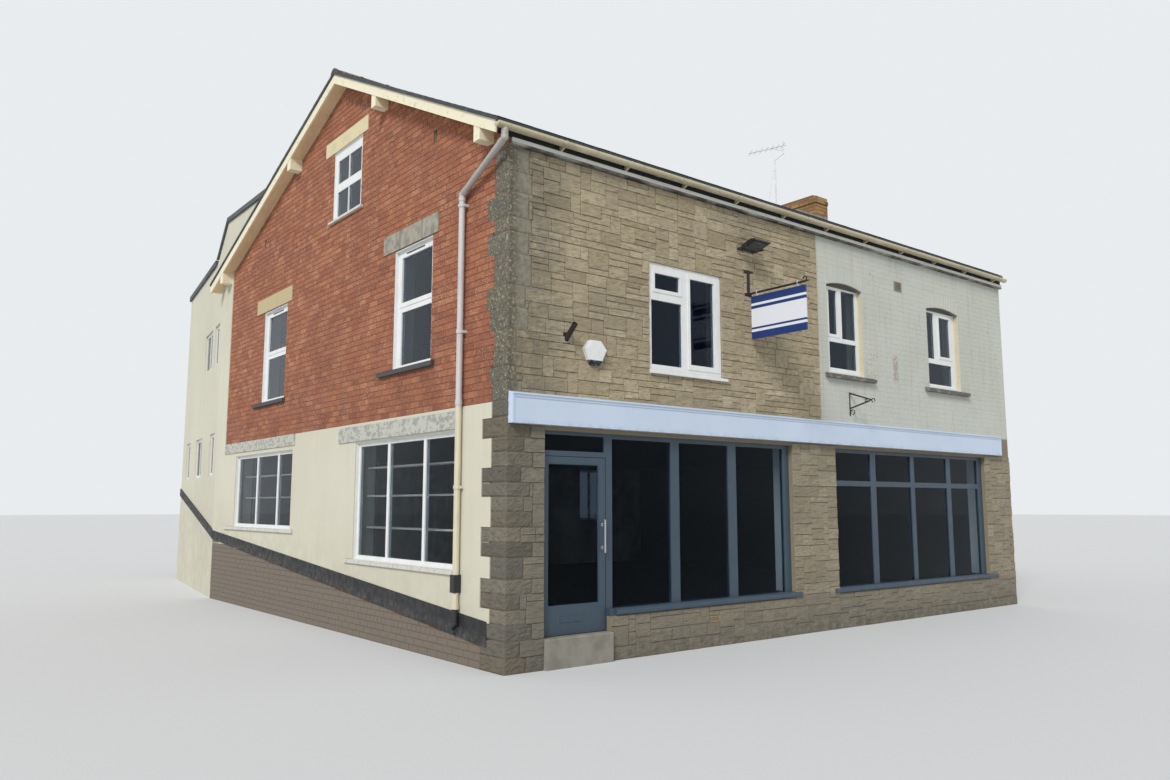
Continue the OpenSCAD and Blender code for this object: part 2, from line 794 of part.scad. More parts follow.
// A straight length of pipe between two points
module pipe(a, b, r) {
  d = b - a;
  l = norm(d);
  translate(a) rotate([0, acos(d[2] / l), atan2(d[1], d[0])]) cylinder(r = r, h = l);
}

// Rainwater pipe: ribbed outlet, swan-neck along the gable, upright with sockets and clips, shoe
module downpipe() {
  bend = [outlet_x, gutter_y, 5940];
  turn = [pipe_x, pipe_y, 5572];
  run = turn - bend;
  foot = street(pipe_y) + 80;
  color("#B9BCBE") {
    difference() {
      pipe([outlet_x, gutter_y, gutter_z - gutter_r + 22], bend, pipe_r);
      translate([outlet_x - 60, gutter_y, gutter_z]) rotate([0, 90, 0]) cylinder(r = gutter_r, h = 120);
    }
    for (z = [5956, 5982, 6008]) translate([outlet_x, gutter_y, z]) cylinder(r = pipe_r + 5, h = 12);
    translate(bend) sphere(r = pipe_r + 5);
    pipe(bend, turn, pipe_r);
    for (f = [0.06, 0.9]) pipe(bend + f * run, bend + (f + 0.04) * run, pipe_r + 5);
    translate(turn) sphere(r = pipe_r + 5);
    pipe(turn, [pipe_x, pipe_y, foot], pipe_r);
    for (z = [5490, 2990, 620]) translate([pipe_x, pipe_y, z]) cylinder(r = pipe_r + 6, h = 60);
    for (z = [5410, 3850, 2000]) {
      translate([pipe_x, pipe_y, z]) cylinder(r = pipe_r + 9, h = 40);
      box([pipe_x, pipe_y - 60, z + 4], [z < render_z ? -16 : 0, pipe_y + 60, z + 36]);
    }
    box([pipe_x - 44, pipe_y - 40, 808], [-16, pipe_y + 54, 1011]);
    translate([pipe_x, pipe_y, foot]) sphere(r = pipe_r + 4);
    pipe([pipe_x, pipe_y, foot], [pipe_x - 60, pipe_y, foot - 45], pipe_r + 4);
  }
}

// Chimney stack with two oversailing courses and a mortar cap
module chimney() {
  x0 = block_l - stack_w; y1 = stack_y + stack_l;
  color("#B07A3E") {
    box([x0, stack_y, 7500], [block_l, y1, stack_z]);
    box([x0 - 22, stack_y - 22, stack_z - 165], [block_l, y1 + 22, stack_z - 83]);
  }
  color("#8F8A7E") on_gable(x0 + 40, stack_w - 40)
    polygon([[stack_y + 20, stack_z], [y1 - 20, stack_z], [y1 - 110, stack_z + 45],
             [stack_y + 110, stack_z + 45]]);
}

// Television aerial: a cranked mast on a stay, with a braced boom and short elements
module aerial() {
  b = [11012, 5075, stack_z + 45];
  k = [b[0], b[1], 10028];
  m = [11177, 4950, 10195];
  right = [11261, 4930, 10421]; left = [10525, 5460, 10186];
  function on_boom(f) = right + f * (left - right);
  color("#A9ACAE") {
    pipe(b, k, 15);
    translate(k) sphere(r = 19);
    pipe(k, m, 15);
    translate(m) sphere(r = 19);
    pipe(m, [m[0], m[1], 10522], 15);
    difference() {
      pipe([10752, 5261, 8240], k + [0, 0, -60], 7);
      on_gable(10600, 300) polygon([[5000, 7900], [5500, 7900],
        [5500, roof_top(5500) + clear], [5000, roof_top(5000) + clear]]);
    }
    pipe(right, left, 11);
    pipe([m[0], m[1], m[2] + 70], on_boom(0.42), 6);
    for (i = [0 : 6]) {
      c = on_boom(0.09 + i * 0.145);
      pipe(c - [99, 138, 0], c + [99, 138, 0], 5);
    }
  }
}

// Wall bar with two plates, pointed rod and curl of the hanging sign
module sign_bracket() {
  curl_r = 28;
  color(dark) {
    box([hang_x - 23, -26, rod_z - 24], [hang_x + 23, 0, 5108]);
    for (p = [[75, rod_z - 34], [110, 5062]])
      box([hang_x - p[0], -14, p[1]], [hang_x + p[0], 0, p[1] + 46]);
    pipe([hang_x, 0, rod_z], [hang_x, -rod_l, rod_z], rod_r);
    translate([hang_x, -rod_l, rod_z]) rotate([90, 0, 0]) cylinder(r1 = rod_r, r2 = 4, h = 62);
    translate([hang_x, -rod_l + 12, rod_z + 37]) rotate([0, 90, 0]) rotate([0, 0, 90])
      rotate_extrude(angle = 250, $fn = 40) translate([curl_r, 0]) circle(r = 8, $fn = 16);
  }
}

// The hanging board: two eyes run round the rod, so it swings in the wind
module hanging_sign() {
  gap = 75; y0 = -gap - hang_w; z1 = rod_z - 50;
  color("#E8EAEE") {
    difference() {
      box([hang_x - hang_t / 2, y0, z1 - hang_h], [hang_x + hang_t / 2, -gap, z1]);
      for (s = [-1, 1]) box([hang_x + s * (hang_t / 2 - 3) - (s < 0 ? 20 : 0), y0 + 18, z1 - hang_h + 18],
                            [hang_x + s * (hang_t / 2 - 3) + (s > 0 ? 20 : 0), -gap - 18, z1 - 18]);
    }
    for (y = [-180, -885]) {
      translate([hang_x, y, rod_z]) rotate([90, 0, 0]) rotate_extrude($fn = 32)
        translate([rod_r + 10, 0]) circle(r = 4, $fn = 12);
      box([hang_x - 5, y - 4, z1 - e], [hang_x + 5, y + 4, rod_z - rod_r - 9]);
    }
  }
}

// Small wrought-iron bracket: upright, falling arm, rising stay and three scrolls
module scroll_bracket() {
  x = 6376; w = 8;
  color(dark) {
    on_gable(x - w, 2 * w) {
      rect([-12, 3180, 0, 3549]);
      polygon([[-12, 3546], [-400, 3408], [-400, 3388], [-12, 3520]]);
      polygon([[-12, 3288], [-12, 3308], [-372, 3400], [-372, 3380]]);
    }
    translate([x, -424, 3388]) rotate([0, 90, 0]) rotate_extrude(angle = 300, $fn = 36)
      translate([27, 0]) circle(r = 7, $fn = 12);
    translate([x, -296, 3401]) rotate([0, 90, 0]) rotate_extrude($fn = 32)
      translate([19, 0]) circle(r = 6, $fn = 12);
    translate([x, -52, 3238]) rotate([0, 90, 0]) rotate([0, 0, 60]) rotate_extrude(angle = 300, $fn = 36)
      translate([36, 0]) circle(r = 7, $fn = 12);
  }
}

// Floodlight on a stirrup: a flat finned head that looks down at the pavement
module floodlight() {
  x = 4003; w = 165; d = 267; lug = 8;
  color(dark) {
    box([x - 60, -10, 5352], [x + 60, 0, 5420]);
    box([x - w - lug, -22, 5376], [x + w + lug, -10, 5396]);
    for (s = [x - w - lug, x + w]) box([s, -215, 5376], [s + lug, -22, 5396]);
    translate([x, -90, 5366]) rotate([-17, 0, 0]) {
      on_gable(-w, 2 * w) difference() {
        polygon([[-d, 0], [0, 0], [0, 30], [-40, 56], [-200, 56], [-d, 26]]);
        rect([14 - d, -e, -14, 4]);
      }
      for (i = [0 : 8]) box([-140 + i * 34, -190, 55], [-135 + i * 34, -50, 72]);
    }
  }
}

// Socket for a flagpole: a wall plate and a tube that leans out
module flagpole_holder() {
  foot = [824, 0, 3745]; reach = [0, -180, 167];
  color(dark) {
    box([775, -12, 3672], [873, 0, 3827]);
    difference() {
      pipe(foot, foot + reach, 33);
      pipe(foot + 0.25 * reach, foot + 1.3 * reach, 25);
      box([700, 0, 3500], [900, 200, 4100]);
    }
  }
}

// Alarm box: a six-sided case with a tapered foot and a raised face
module alarm_box() {
  side = [[62, -152], [107, -92], [172, 45], [82, 150]];
  outline = concat(side, [for (i = [3 : -1 : 0]) [-side[i][0], side[i][1]]]);
  color(white) {
    on_front(-62, 62) translate([1228, 3622]) polygon(outline);
    on_front(-78, 16) translate([1228, 3622]) polygon([for (p = outline) p * 0.86]);
  }
}

// Louvred vent in the upper front wall and airbrick under the left shop window
module wall_vents() {
  color("#8E8F88") {
    difference() {
      box([7740, -14, 5381], [7945, 0, 5535]);
      for (i = [0 : 4]) box([7758, -15, 5400 + i * 26], [7927, -4, 5412 + i * 26]);
    }
    difference() {
      box([3170, -6, 310], [3385, 0, 385]);
      for (i = [0 : 7]) box([3182 + i * 25, -7, 322], [3194 + i * 25, -1, 373]);
    }
  }
}

// Outline of the door leaf and of its glass
leaf = [leaf_x, leaf_z, leaf_x + leaf_w, leaf_z + leaf_h];
pane = [leaf[0] + stile_hinge, leaf[1] + rail_low, leaf[2] - stile_lock, leaf[3] - rail_top];

// The glazed leaf with its beads, and the knuckles of three hinges on its inner face
module shop_door() {
  bead = 12;
  color(slate_blue) {
    on_front(leaf_y, leaf_t) sash(leaf, [pane]);
    on_front(leaf_y + 4, 9) sash([pane[0], pane[1], pane[2], pane[3]],
      [[pane[0] + bead, pane[1] + bead, pane[2] - bead, pane[3] - bead]]);
    for (z = [560, 1310, 2100]) translate([hinge_at[0], hinge_at[1], z]) cylinder(r = knuckle_r, h = 90);
  }
}

module door_glass() {
  color([0.55, 0.66, 0.72, 0.4]) on_front(leaf_y + 13, glass_t) rect(pane);
}

// Pull handle: an upright bar on two stand-offs
module door_handle() {
  x = leaf[2] - stile_lock / 2;
  color("#C9CCCE") {
    translate([x, leaf_y - 55, 1250]) cylinder(r = bar_r, h = 390);
    for (z = [1310, 1580]) {
      pipe([x, leaf_y - 55, z], [x, leaf_y, z], 9);
      pipe([x, leaf_y - 6, z], [x, leaf_y, z], 20);
    }
  }
}

front_wall_stone();
front_wall_painted();
shop_beam();
shop_piers();
stall_risers();
door_step();
sign_board();
shop_windows();
door_frame();
ground_floor_glass();
gable_wall();
gable_render();
gable_lintels();
window_sills();
plinth();
gable_windows();
front_windows();
rear_windows();
upper_glass();
window_boards();
rear_wall();
party_wall();
wing_side_wall();
wing_rear_walls();
wing_roof();
dormer();
ground_floor();
upper_floors();
roof_covering();
roof_deck();
barge_boards();
eave_boards();
gutter();
downpipe();
chimney();
aerial();
sign_bracket();
hanging_sign();
scroll_bracket();
floodlight();
flagpole_holder();
alarm_box();
wall_vents();
shop_door();
door_glass();
door_handle();
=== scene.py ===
# %% [markdown]
# # A corner shop building
# A two-storey corner shop. Its front is faced with split stone and painted brick, its side is a
# red brick gable, and a rendered wing stands behind. The exact solids come from the CAD model.
# This lesson gives each of them its real finish and lays what repeats over them: bricks, stones,
# slates and ridge tiles.

import math
import random

import bmesh
import bpy
from mathutils import Matrix, Vector, noise


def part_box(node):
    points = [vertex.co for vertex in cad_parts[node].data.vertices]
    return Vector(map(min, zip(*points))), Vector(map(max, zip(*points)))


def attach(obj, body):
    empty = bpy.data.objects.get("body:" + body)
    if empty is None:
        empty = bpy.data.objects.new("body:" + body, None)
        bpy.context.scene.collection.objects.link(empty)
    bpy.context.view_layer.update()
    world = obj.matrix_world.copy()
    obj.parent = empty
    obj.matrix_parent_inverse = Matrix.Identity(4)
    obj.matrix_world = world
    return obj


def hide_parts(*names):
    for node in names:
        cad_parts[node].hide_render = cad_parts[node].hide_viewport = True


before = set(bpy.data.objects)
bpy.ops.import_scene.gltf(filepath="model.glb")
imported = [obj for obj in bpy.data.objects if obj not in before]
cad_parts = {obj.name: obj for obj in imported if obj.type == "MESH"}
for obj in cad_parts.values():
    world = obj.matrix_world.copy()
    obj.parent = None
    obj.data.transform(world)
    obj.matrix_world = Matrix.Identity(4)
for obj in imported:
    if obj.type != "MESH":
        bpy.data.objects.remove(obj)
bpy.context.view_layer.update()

# %% [markdown]
# ## Two helpers for nodes
# Colours are picked on screen as sRGB hex values, and Blender's nodes want linear light, so one
# function turns the one into the other. Another adds a node, sets its settings and sets or links
# its inputs. Everything below is written with these two.

# %% Colours and nodes


def linear(colour):
    """An sRGB hex colour as the linear RGBA that nodes take."""
    parts = [int(colour[i : i + 2], 16) / 255 for i in (1, 3, 5)]
    return *(p / 12.92 if p <= 0.04045 else ((p + 0.055) / 1.055) ** 2.4 for p in parts), 1.0


def add(tree, kind, inputs=None, **settings):
    """One new node, with its settings and with its inputs set or linked."""
    made = tree.nodes.new(kind)
    for key, value in settings.items():
        setattr(made, key, value)
    for key, value in (inputs or {}).items():
        if isinstance(value, bpy.types.NodeSocket):
            tree.links.new(value, made.inputs[key])
        else:
            made.inputs[key].default_value = value
    return made


print("a middle grey in linear light", [round(part, 3) for part in linear("#808080")])

# %% [markdown]
# ## Patterns of weather and wear
# A pattern is a number from 0 to 1 at each point of the surface. Each is worked out from the
# point's place on the building, in real millimetres, so a stain is as large on a brick as on the
# next one. A finish then lays other colours over its own by these patterns.

# %% Blotches, runs and grains


def patches(size_mm, low, high, stretch=(1, 1, 1), detail=4.0, seed=0.0):
    """Blotches of about this size: 0 outside, 1 inside, with a soft edge from low to high."""

    def draw(tree):
        place = add(tree, "ShaderNodeTexCoord").outputs["Object"]
        scale = [1000 / size_mm * s for s in stretch]
        move = {"Vector": place, "Location": (seed, -seed, 2 * seed), "Scale": scale}
        place = add(tree, "ShaderNodeMapping", move).outputs[0]
        look = {"Vector": place, "Scale": 1.0, "Detail": detail, "Roughness": 0.6}
        cloud = add(tree, "ShaderNodeTexNoise", look).outputs["Fac"]
        spread = {"Value": cloud, "From Min": low, "From Max": high}
        return add(tree, "ShaderNodeMapRange", spread).outputs["Result"]

    return draw


def grain(size_mm, stretch=(1, 1, 1)):
    """An even unrest of this size, for relief."""
    return patches(size_mm, 0.3, 0.7, stretch)


def streaks(width_mm, low, high, seed=0.0):
    """Upright runs that rain leaves, long and thin."""
    return patches(width_mm, low, high, (1, 1, 0.07), 3.0, seed)


def cells(size_mm, low, high, stretch=(1, 1, 1)):
    """Rounded grains side by side, as in split stone or pebbly mortar."""

    def draw(tree):
        place = add(tree, "ShaderNodeTexCoord").outputs["Object"]
        scale = [1000 / size_mm * s for s in stretch]
        place = add(tree, "ShaderNodeMapping", {"Vector": place, "Scale": scale}).outputs[0]
        pebble = add(tree, "ShaderNodeTexVoronoi", {"Vector": place, "Scale": 1.0})
        spread = {"Value": pebble.outputs["Distance"], "From Min": low, "From Max": high}
        return add(tree, "ShaderNodeMapRange", spread).outputs["Result"]

    return draw


print("patterns:", [pattern.__name__ for pattern in (patches, grain, streaks, cells)])

# %% [markdown]
# Some stains and paints keep to one part of the building: the foot of a wall, the strip under a
# gutter, the inner side. Those are ramps along a direction. A steep ramp is an edge of paint, two
# of them make a band, and the product of several patterns is where all of them are.

# %% Ramps and bands
EAST, NORTH, UP = (1, 0, 0), (0, 1, 0), (0, 0, 1)


def along(direction, start, end):
    """A ramp: 0 where a point's reach along the direction is start, 1 where it is end."""

    def draw(tree):
        place = add(tree, "ShaderNodeTexCoord").outputs["Object"]
        reach = add(tree, "ShaderNodeVectorMath", {0: place, 1: direction}, operation="DOT_PRODUCT")
        spread = {"Value": reach.outputs["Value"], "From Min": start, "From Max": end}
        return add(tree, "ShaderNodeMapRange", spread).outputs["Result"]

    return draw


def both(*patterns):
    """Where all of these patterns are."""

    def draw(tree):
        share = patterns[0](tree)
        for pattern in patterns[1:]:
            product = {0: share, 1: pattern(tree)}
            share = add(tree, "ShaderNodeMath", product, operation="MULTIPLY").outputs[0]
        return share

    return draw


def between(direction, low, high, soft=0.002):
    """A band between two reaches along a direction, with edges of this softness."""
    return both(along(direction, low, low + soft), along(direction, high, high - soft))


print("ramps:", [pattern.__name__ for pattern in (along, both, between)])

# %% [markdown]
# ## How a finish is put together
# Every finish here starts from one shader. Its base colour is a single colour, or for laid units a
# ramp read by each unit's own tone, so that no two bricks match. Layers are mixed over it, and the
# relief is added up in millimetres and fed to one bump node.

# %% The finish builder
MIX_SHARE, MIX_UNDER, MIX_OVER, MIX_COLOUR = 0, 6, 7, 2  # sockets of a Mix node set to colours


def finish(name, colours, rough, layers=(), relief=(), matt=None, **sockets):
    """A material from colours (one, or several read by the unit's tone), layers (pattern, colour,
    strength), relief (pattern, millimetres) and a pattern that changes its roughness."""
    made = bpy.data.materials.new(name)
    made.use_nodes = True
    tree = made.node_tree
    tree.nodes.clear()
    shader = add(tree, "ShaderNodeBsdfPrincipled", {"Roughness": rough, **sockets})
    add(tree, "ShaderNodeOutputMaterial", {"Surface": shader.outputs[0]})
    tint = linear(colours) if isinstance(colours, str) else None
    if tint is None:
        tone = add(tree, "ShaderNodeAttribute", attribute_name="tone").outputs["Fac"]
        ramp = add(tree, "ShaderNodeValToRGB", {"Fac": tone})
        stops = ramp.color_ramp.elements
        for _ in range(len(colours) - len(stops)):
            stops.new(0.5)
        for i, colour in enumerate(colours):
            stops[i].position = i / (len(colours) - 1)
            stops[i].color = linear(colour)
        tint = ramp.outputs["Color"]
    for pattern, over, strength in layers:
        share = {0: pattern(tree), 1: strength}
        share = add(tree, "ShaderNodeMath", share, operation="MULTIPLY").outputs[0]
        mix = {MIX_SHARE: share, MIX_UNDER: tint, MIX_OVER: linear(over)}
        tint = add(tree, "ShaderNodeMix", mix, data_type="RGBA").outputs[MIX_COLOUR]
    if isinstance(tint, tuple):
        shader.inputs["Base Color"].default_value = tint
    else:
        tree.links.new(tint, shader.inputs["Base Color"])
    height = None
    for pattern, depth_mm in relief:
        step = {0: pattern(tree), 1: depth_mm / 1000, 2: 0.0 if height is None else height}
        height = add(tree, "ShaderNodeMath", step, operation="MULTIPLY_ADD").outputs[0]
    if height is not None:
        bump = add(tree, "ShaderNodeBump", {"Height": height, "Strength": 1.0, "Distance": 1.0})
        tree.links.new(bump.outputs[0], shader.inputs["Normal"])
    if matt:
        pattern, other = matt
        spread = {"Value": pattern(tree), "To Min": rough, "To Max": other}
        dull = add(tree, "ShaderNodeMapRange", spread).outputs["Result"]
        tree.links.new(dull, shader.inputs["Roughness"])
    return made


def dress(material, *names):
    """Gives CAD nodes this finish by their own material slots."""
    for name in names:
        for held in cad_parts[name].material_slots:
            held.material = material


print("ready to build finishes for", len(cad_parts), "nodes")

# %% [markdown]
# ## Fired clay
# The gable is of hand-made red brick, weathered to orange and brown, with specks of lime and a
# sooty bloom. The chimney is of yellow stock brick. The mortar between is sandy lime, darker where
# damp. Bricks are rough and never shine. Their patterns could come from each brick's own drawing,
# but read from the place on the wall they also cross from one brick to the next, as dirt does.

# %% Bricks and mortar
SHADED_INSIDE = "#45423C"  # plaster of the rooms, darkened as painted shade since the rooms are unlit
WALL_PAINT = "#D3CEB9"  # where masonry paint runs on over mortar
SLOPE, SLOPE_FOOT = 0.0886, 0.289  # the gable's foot climbs this steeply, from this height
OVER_SLOPE = (0, -SLOPE, 1)  # height over that slope, as a direction
lime_specks = both(patches(420, 0.5, 0.62, seed=11), patches(22, 0.56, 0.62, (1, 1, 1.6), seed=14))

# Moulded by hand and fired unevenly: rough, from brown to orange, with specks of lime
red_brick = finish("handmade_red_brick", (
    "#7E4A38", "#985B41", "#8B5039", "#A26545", "#91563D", "#AB7051", "#844B37",
), 0.92, [
    (patches(1500, 0.48, 0.66, seed=3), "#784837", 0.4),
    (patches(70, 0.5, 0.66, (1, 1, 2), seed=1), "#AB7254", 0.4),
    (patches(13, 0.58, 0.66), "#D9B595", 0.6),
    (lime_specks, "#DDBE9F", 0.6),
    (patches(9, 0.62, 0.7, seed=8), "#5F3526", 0.45),
    (both(along(UP, 3.9, 3.0), patches(500, 0.4, 0.6)), "#673F32", 0.35),  # damp low down
    (along(OVER_SLOPE, 0.25, 0.23), "#736C62", 1.0),  # the footing
], [(patches(16, 0.3, 0.75), 1.4), (grain(4), 0.5)])

sandy = [(patches(300, 0.4, 0.7), "#6A4C3E", 0.6), (patches(5, 0.5, 0.7), "#9C7F68", 0.5)]
# Lime and coarse sand: dead matt, crumbly and a shade darker than the bricks
lime_mortar = finish("sandy_lime_mortar", "#7D5844", 0.95, [
    *sandy,
    (both(along(EAST, 11.2, 11.1), along(UP, 8.0, 7.9)), SHADED_INSIDE, 1.0),  # party wall, inside: painted shade
    (both(along(NORTH, 10.37, 10.39), along(EAST, 10.8, 10.9)), WALL_PAINT, 1.0),  # its end
], [(grain(6), 0.9)])

# Yellow clay with ash in it: rough, and sooty where the smoke hangs
stock_brick = finish("yellow_stock_brick", (
    "#80623F", "#977549", "#A68150", "#8B6943", "#AD8C5C", "#735739",
), 0.93, [
    (patches(200, 0.5, 0.7), "#5B4A36", 0.5),
    (patches(12, 0.58, 0.68), "#D0B183", 0.5),
], [(grain(14), 2.0), (grain(4), 0.6)])

# Common bricks, never cleaned or painted: a dull red brown under soot
party_brick = finish("sooty_party_brick", (
    "#7A5141", "#8D6049", "#9A6C54", "#845A47", "#A27860",
), 0.93, [
    (patches(1300, 0.45, 0.65), "#6B5043", 0.4),
    (patches(12, 0.6, 0.68), "#C5A58D", 0.4),
], [(grain(16), 1.5)])
print("clay finishes ready")

# %% [markdown]
# ## Stone
# The facing is split sandstone: warm buff blocks whose faces are broken, not sawn, so each catches
# the light in facets. Those facets are relief in the finish, since a block has few faces of its
# own. Blocks near the corner and low down are greyer with soot, lichen and splashes, and the ground
# floor is also darker as painted shade.

# %% Stone finishes
ledges = patches(120, 0.4, 0.62, (0.6, 1, 1.9), 5.0, seed=12)
# Split along its bed, so ledges catch the light; soot greys the corner and splashes the foot,
# and the ground floor is darker as painted shade
buff_stone = finish("split_buff_sandstone", (
    "#988B70", "#B1A386", "#A09377", "#B9AB8E", "#A5987D", "#BDB094", "#AB9D82",
), 0.9, [
    (patches(900, 0.45, 0.7, seed=5), "#8C8474", 0.5),
    (patches(90, 0.48, 0.64, (1, 1, 2)), "#82765F", 0.5),
    (patches(11, 0.62, 0.7), "#665D4C", 0.5),
    (patches(7, 0.6, 0.7, seed=4), "#C4BAA2", 0.35),
    (both(along(EAST, 0.9, 0.4), patches(160, 0.3, 0.5)), "#6A665B", 0.6),  # near the corner
    # near the corner on the ground floor: soot and painted shade
    (both(along(EAST, 0.9, 0.5), along(UP, 2.8, 2.7)), "#605D55", 0.4),
    (along(UP, 2.8, 2.7), "#777368", 0.5),  # ground floor: painted shade
    (along(UP, 0.56, 0.50), "#6E6B61", 0.45),  # low walls
    (both(along(UP, 0.40, 0.05), patches(120, 0.3, 0.6)), "#514E46", 0.6),  # splashes
], [(ledges, 8.0), (patches(45, 0.3, 0.7, (0.7, 1, 2.2), 6.0), 6.5), (grain(9), 1.1)])

# The same stone, larger and darker, partly with soot and partly as painted shade, with pale grains
# in it
corner_stone = finish("sooty_and_shaded_split_stone", (
    "#605E56", "#767164", "#58564F", "#6C6455", "#65625A", "#807969",
), 0.92, [
    (patches(110, 0.45, 0.65, seed=6), "#5A564A", 0.5),
    (patches(14, 0.6, 0.7), "#4C473B", 0.5),
    (patches(8, 0.6, 0.7, seed=9), "#B4AB93", 0.35),
], [(ledges, 7.0), (patches(40, 0.3, 0.7, (1, 1, 1.8), 6.0), 4.0), (grain(9), 1.2)])

# Eaten back to its pebbles, almost black in the hollows, with pale lichen
dark_quoin = finish("weathered_corner_stone", ("#5E5A50", "#6E6A5C", "#55524A", "#67614F"), 0.95, [
    (patches(60, 0.5, 0.6, seed=2), "#403E37", 0.65),
    (cells(17, 0.25, 0.55), "#7C7767", 0.4),
    (patches(30, 0.55, 0.63, seed=21), "#AFA996", 0.6),
    (both(along(EAST, 0.02, 0.16), patches(70, 0.62, 0.38, seed=6)), "#8F8874", 0.9),
    (along(EAST, 0.10, 0.20), "#8C897A", 0.8),  # cleaner towards the front
    (both(along(EAST, 0.10, 0.2), patches(60, 0.46, 0.62, seed=3)), "#6F695B", 0.6),
], [(both(along(EAST, 0.06, 0.02), cells(22, 0.1, 0.7)), 6.0), (grain(7), 1.3)])

# Buff cement in the joints of the stones: matt and sandy
stone_mortar = finish("buff_mortar", "#857A66", 0.95, [
    (patches(500, 0.4, 0.7), "#766C5A", 0.6),
    (patches(5, 0.5, 0.7), "#A0957D", 0.5),
    (along(NORTH, 0.27, 0.28), SHADED_INSIDE, 1.0),  # behind the wall: painted shade
], [(grain(6), 0.8)])
print("walling stones and their mortar ready")

# %% [markdown]
# Lintels, sills and the step are single stones with a finish each. A lintel or sill is told from
# the next by its height or its place along the gable, so one material serves the whole node.

# %% Lintels, sills and step
worn = both(along(UP, 3.2, 3.19), patches(75, 0.44, 0.5, (1, 1, 1.6), 8.0))
# Cast concrete, pale and even; low down its painted skin flakes off
lintel_stone = finish("pale_concrete_lintel", "#A19E90", 0.88, [
    (both(along(NORTH, 3.6, 3.5), patches(120, 0.44, 0.62)), "#77756B", 0.7),  # the near one
    (both(along(NORTH, 3.6, 3.5), streaks(90, 0.5, 0.68, seed=2)), "#65635B", 0.5),
    (along(NORTH, 5.4, 5.5), "#BFAE86", 0.9),  # the far one
    (along(UP, 6.5, 6.6), "#D8CDA6", 0.95),  # the attic's
    (patches(200, 0.5, 0.7, seed=5), "#A69F86", 0.3),
    (along(UP, 3.2, 3.19), "#9A9B94", 0.9),  # ground floor
    (worn, "#C6C7BD", 0.7),
], [(worn, 1.8), (grain(8), 0.7)])

bare_sills = both(along(UP, 3.70, 3.71), along(EAST, 5.0, 5.1))  # those of the painted wall
# Old paint over stone: chalky, streaked, and grey or black on the upper floor
window_sill = finish("painted_sill", "#CDCCC3", 0.7, [
    (streaks(60, 0.5, 0.68), "#A5A398", 0.6),
    (both(between(UP, 3.40, 3.66, 0.01), along(EAST, 1.1, 1.0)), "#414446", 1.0),  # gable
    (bare_sills, "#5D5B55", 1.0),
    (both(bare_sills, patches(110, 0.52, 0.62, (1, 1, 2), seed=7)), "#8F8D83", 0.7),
    (patches(20, 0.6, 0.7), "#98968C", 0.4),
], [(grain(30, (1, 1, 4)), 0.8)])

# A trodden block: dull, with its grit rubbed pale
step_stone = finish("worn_step_stone", "#8D897F", 0.8, [
    (patches(200, 0.4, 0.65), "#6B675E", 0.6),
    (patches(8, 0.55, 0.7), "#ABA798", 0.4),
], [(grain(10), 0.8)])
print("lintels, sills and step ready")

# %% [markdown]
# ## Painted masonry
# Masonry paint is thick and matt, and softens what it covers. It is clean under the eave, streaked
# where rain runs, grey with splashes low down, and flakes off at damp spots. A chip could be cut
# into the mesh, but it is thinner than a millimetre, so a change of colour is enough.

# %% Painted walls
reveals = both(along(NORTH, 0.004, 0.008), along(NORTH, 0.3, 0.29))  # the wall's thickness
flaked = both(
    between(EAST, 7.60, 7.77, 0.03), between(UP, 3.80, 4.28, 0.04), patches(50, 0.42, 0.52, seed=3)
)
chipped = both(
    along(EAST, 6.80, 6.84), along(EAST, 7.30, 7.10), between(UP, 3.70, 4.35, 0.1),
    patches(30, 0.6, 0.63, seed=2),
)

# Thick matt paint, faintly green, that rounds the bricks' edges and flakes in spots
cream_brick = finish("cream_paint_on_brick", "#C3C5BC", 0.75, [
    (patches(1200, 0.4, 0.65, seed=7), "#B8BBB1", 0.7),
    (streaks(120, 0.52, 0.7, seed=3), "#ACACA0", 0.5),
    (patches(14, 0.62, 0.7), "#B0AFA3", 0.5),
    (both(patches(650, 0.6, 0.66, seed=5), patches(40, 0.6, 0.63, seed=1)), "#55493B", 0.9),
    (flaked, "#9A8672", 0.7),
    (chipped, "#5A4C3C", 0.9),
    (both(reveals, along(UP, 5.15, 5.22)), "#5B564E", 0.85),  # under the arches: painted shade
    (both(reveals, along(UP, 5.22, 5.15)), "#C9BC94", 0.75),  # beside the windows
    # inside the wall: painted shade of the rooms
    (both(along(NORTH, 0.30, 0.31), along(NORTH, 0.2, 0.4)), SHADED_INSIDE, 1.0),
], [(grain(25), 1.3), (grain(6), 0.5)])

rear_rooms = both(along(NORTH, 10.10, 10.09), along(EAST, 0.30, 0.31), along(UP, 6.12, 6.10))
# The same paint on floated render: broad soft swells and a sandy skin
cream_render = finish("cream_paint_on_render", "#CFCCBA", 0.8, [
    # the rooms behind: painted shade
    (rear_rooms, SHADED_INSIDE, 1.0),
    (patches(2600, 0.4, 0.65, seed=2), "#C5C2B0", 0.8),
    (streaks(160, 0.55, 0.78, seed=6), "#B9B39D", 0.35),
    (both(along(OVER_SLOPE, 1.1, 0.35), patches(260, 0.35, 0.6, seed=4)), "#B4AD98", 0.4),
    (patches(10, 0.66, 0.72), "#A9A390", 0.5),
], [(grain(700), 5.0), (grain(5), 0.8)])

# Tarry black with a low sheen, dusty where rain splashes it
black_plinth = finish("black_bitumen_paint", "#242527", 0.55, [
    (patches(150, 0.45, 0.65), "#323334", 0.6),
    (both(along(OVER_SLOPE, 0.38, 0.28), patches(60, 0.45, 0.65)), "#5F5B53", 0.5),
    (patches(16, 0.66, 0.72), "#7F7B70", 0.4),
], [(grain(12), 1.2)], (patches(100, 0.4, 0.6), 0.85))
print("painted walls ready")

# %% [markdown]
# ## Frames and boards
# The shop front is painted slate blue, the window frames above are white plastic, and the boards of
# the roof are cream gloss. New paint and plastic have a low roughness, about 0.3 to 0.5, and a
# second pattern makes it uneven, because nothing outdoors is equally clean all over.

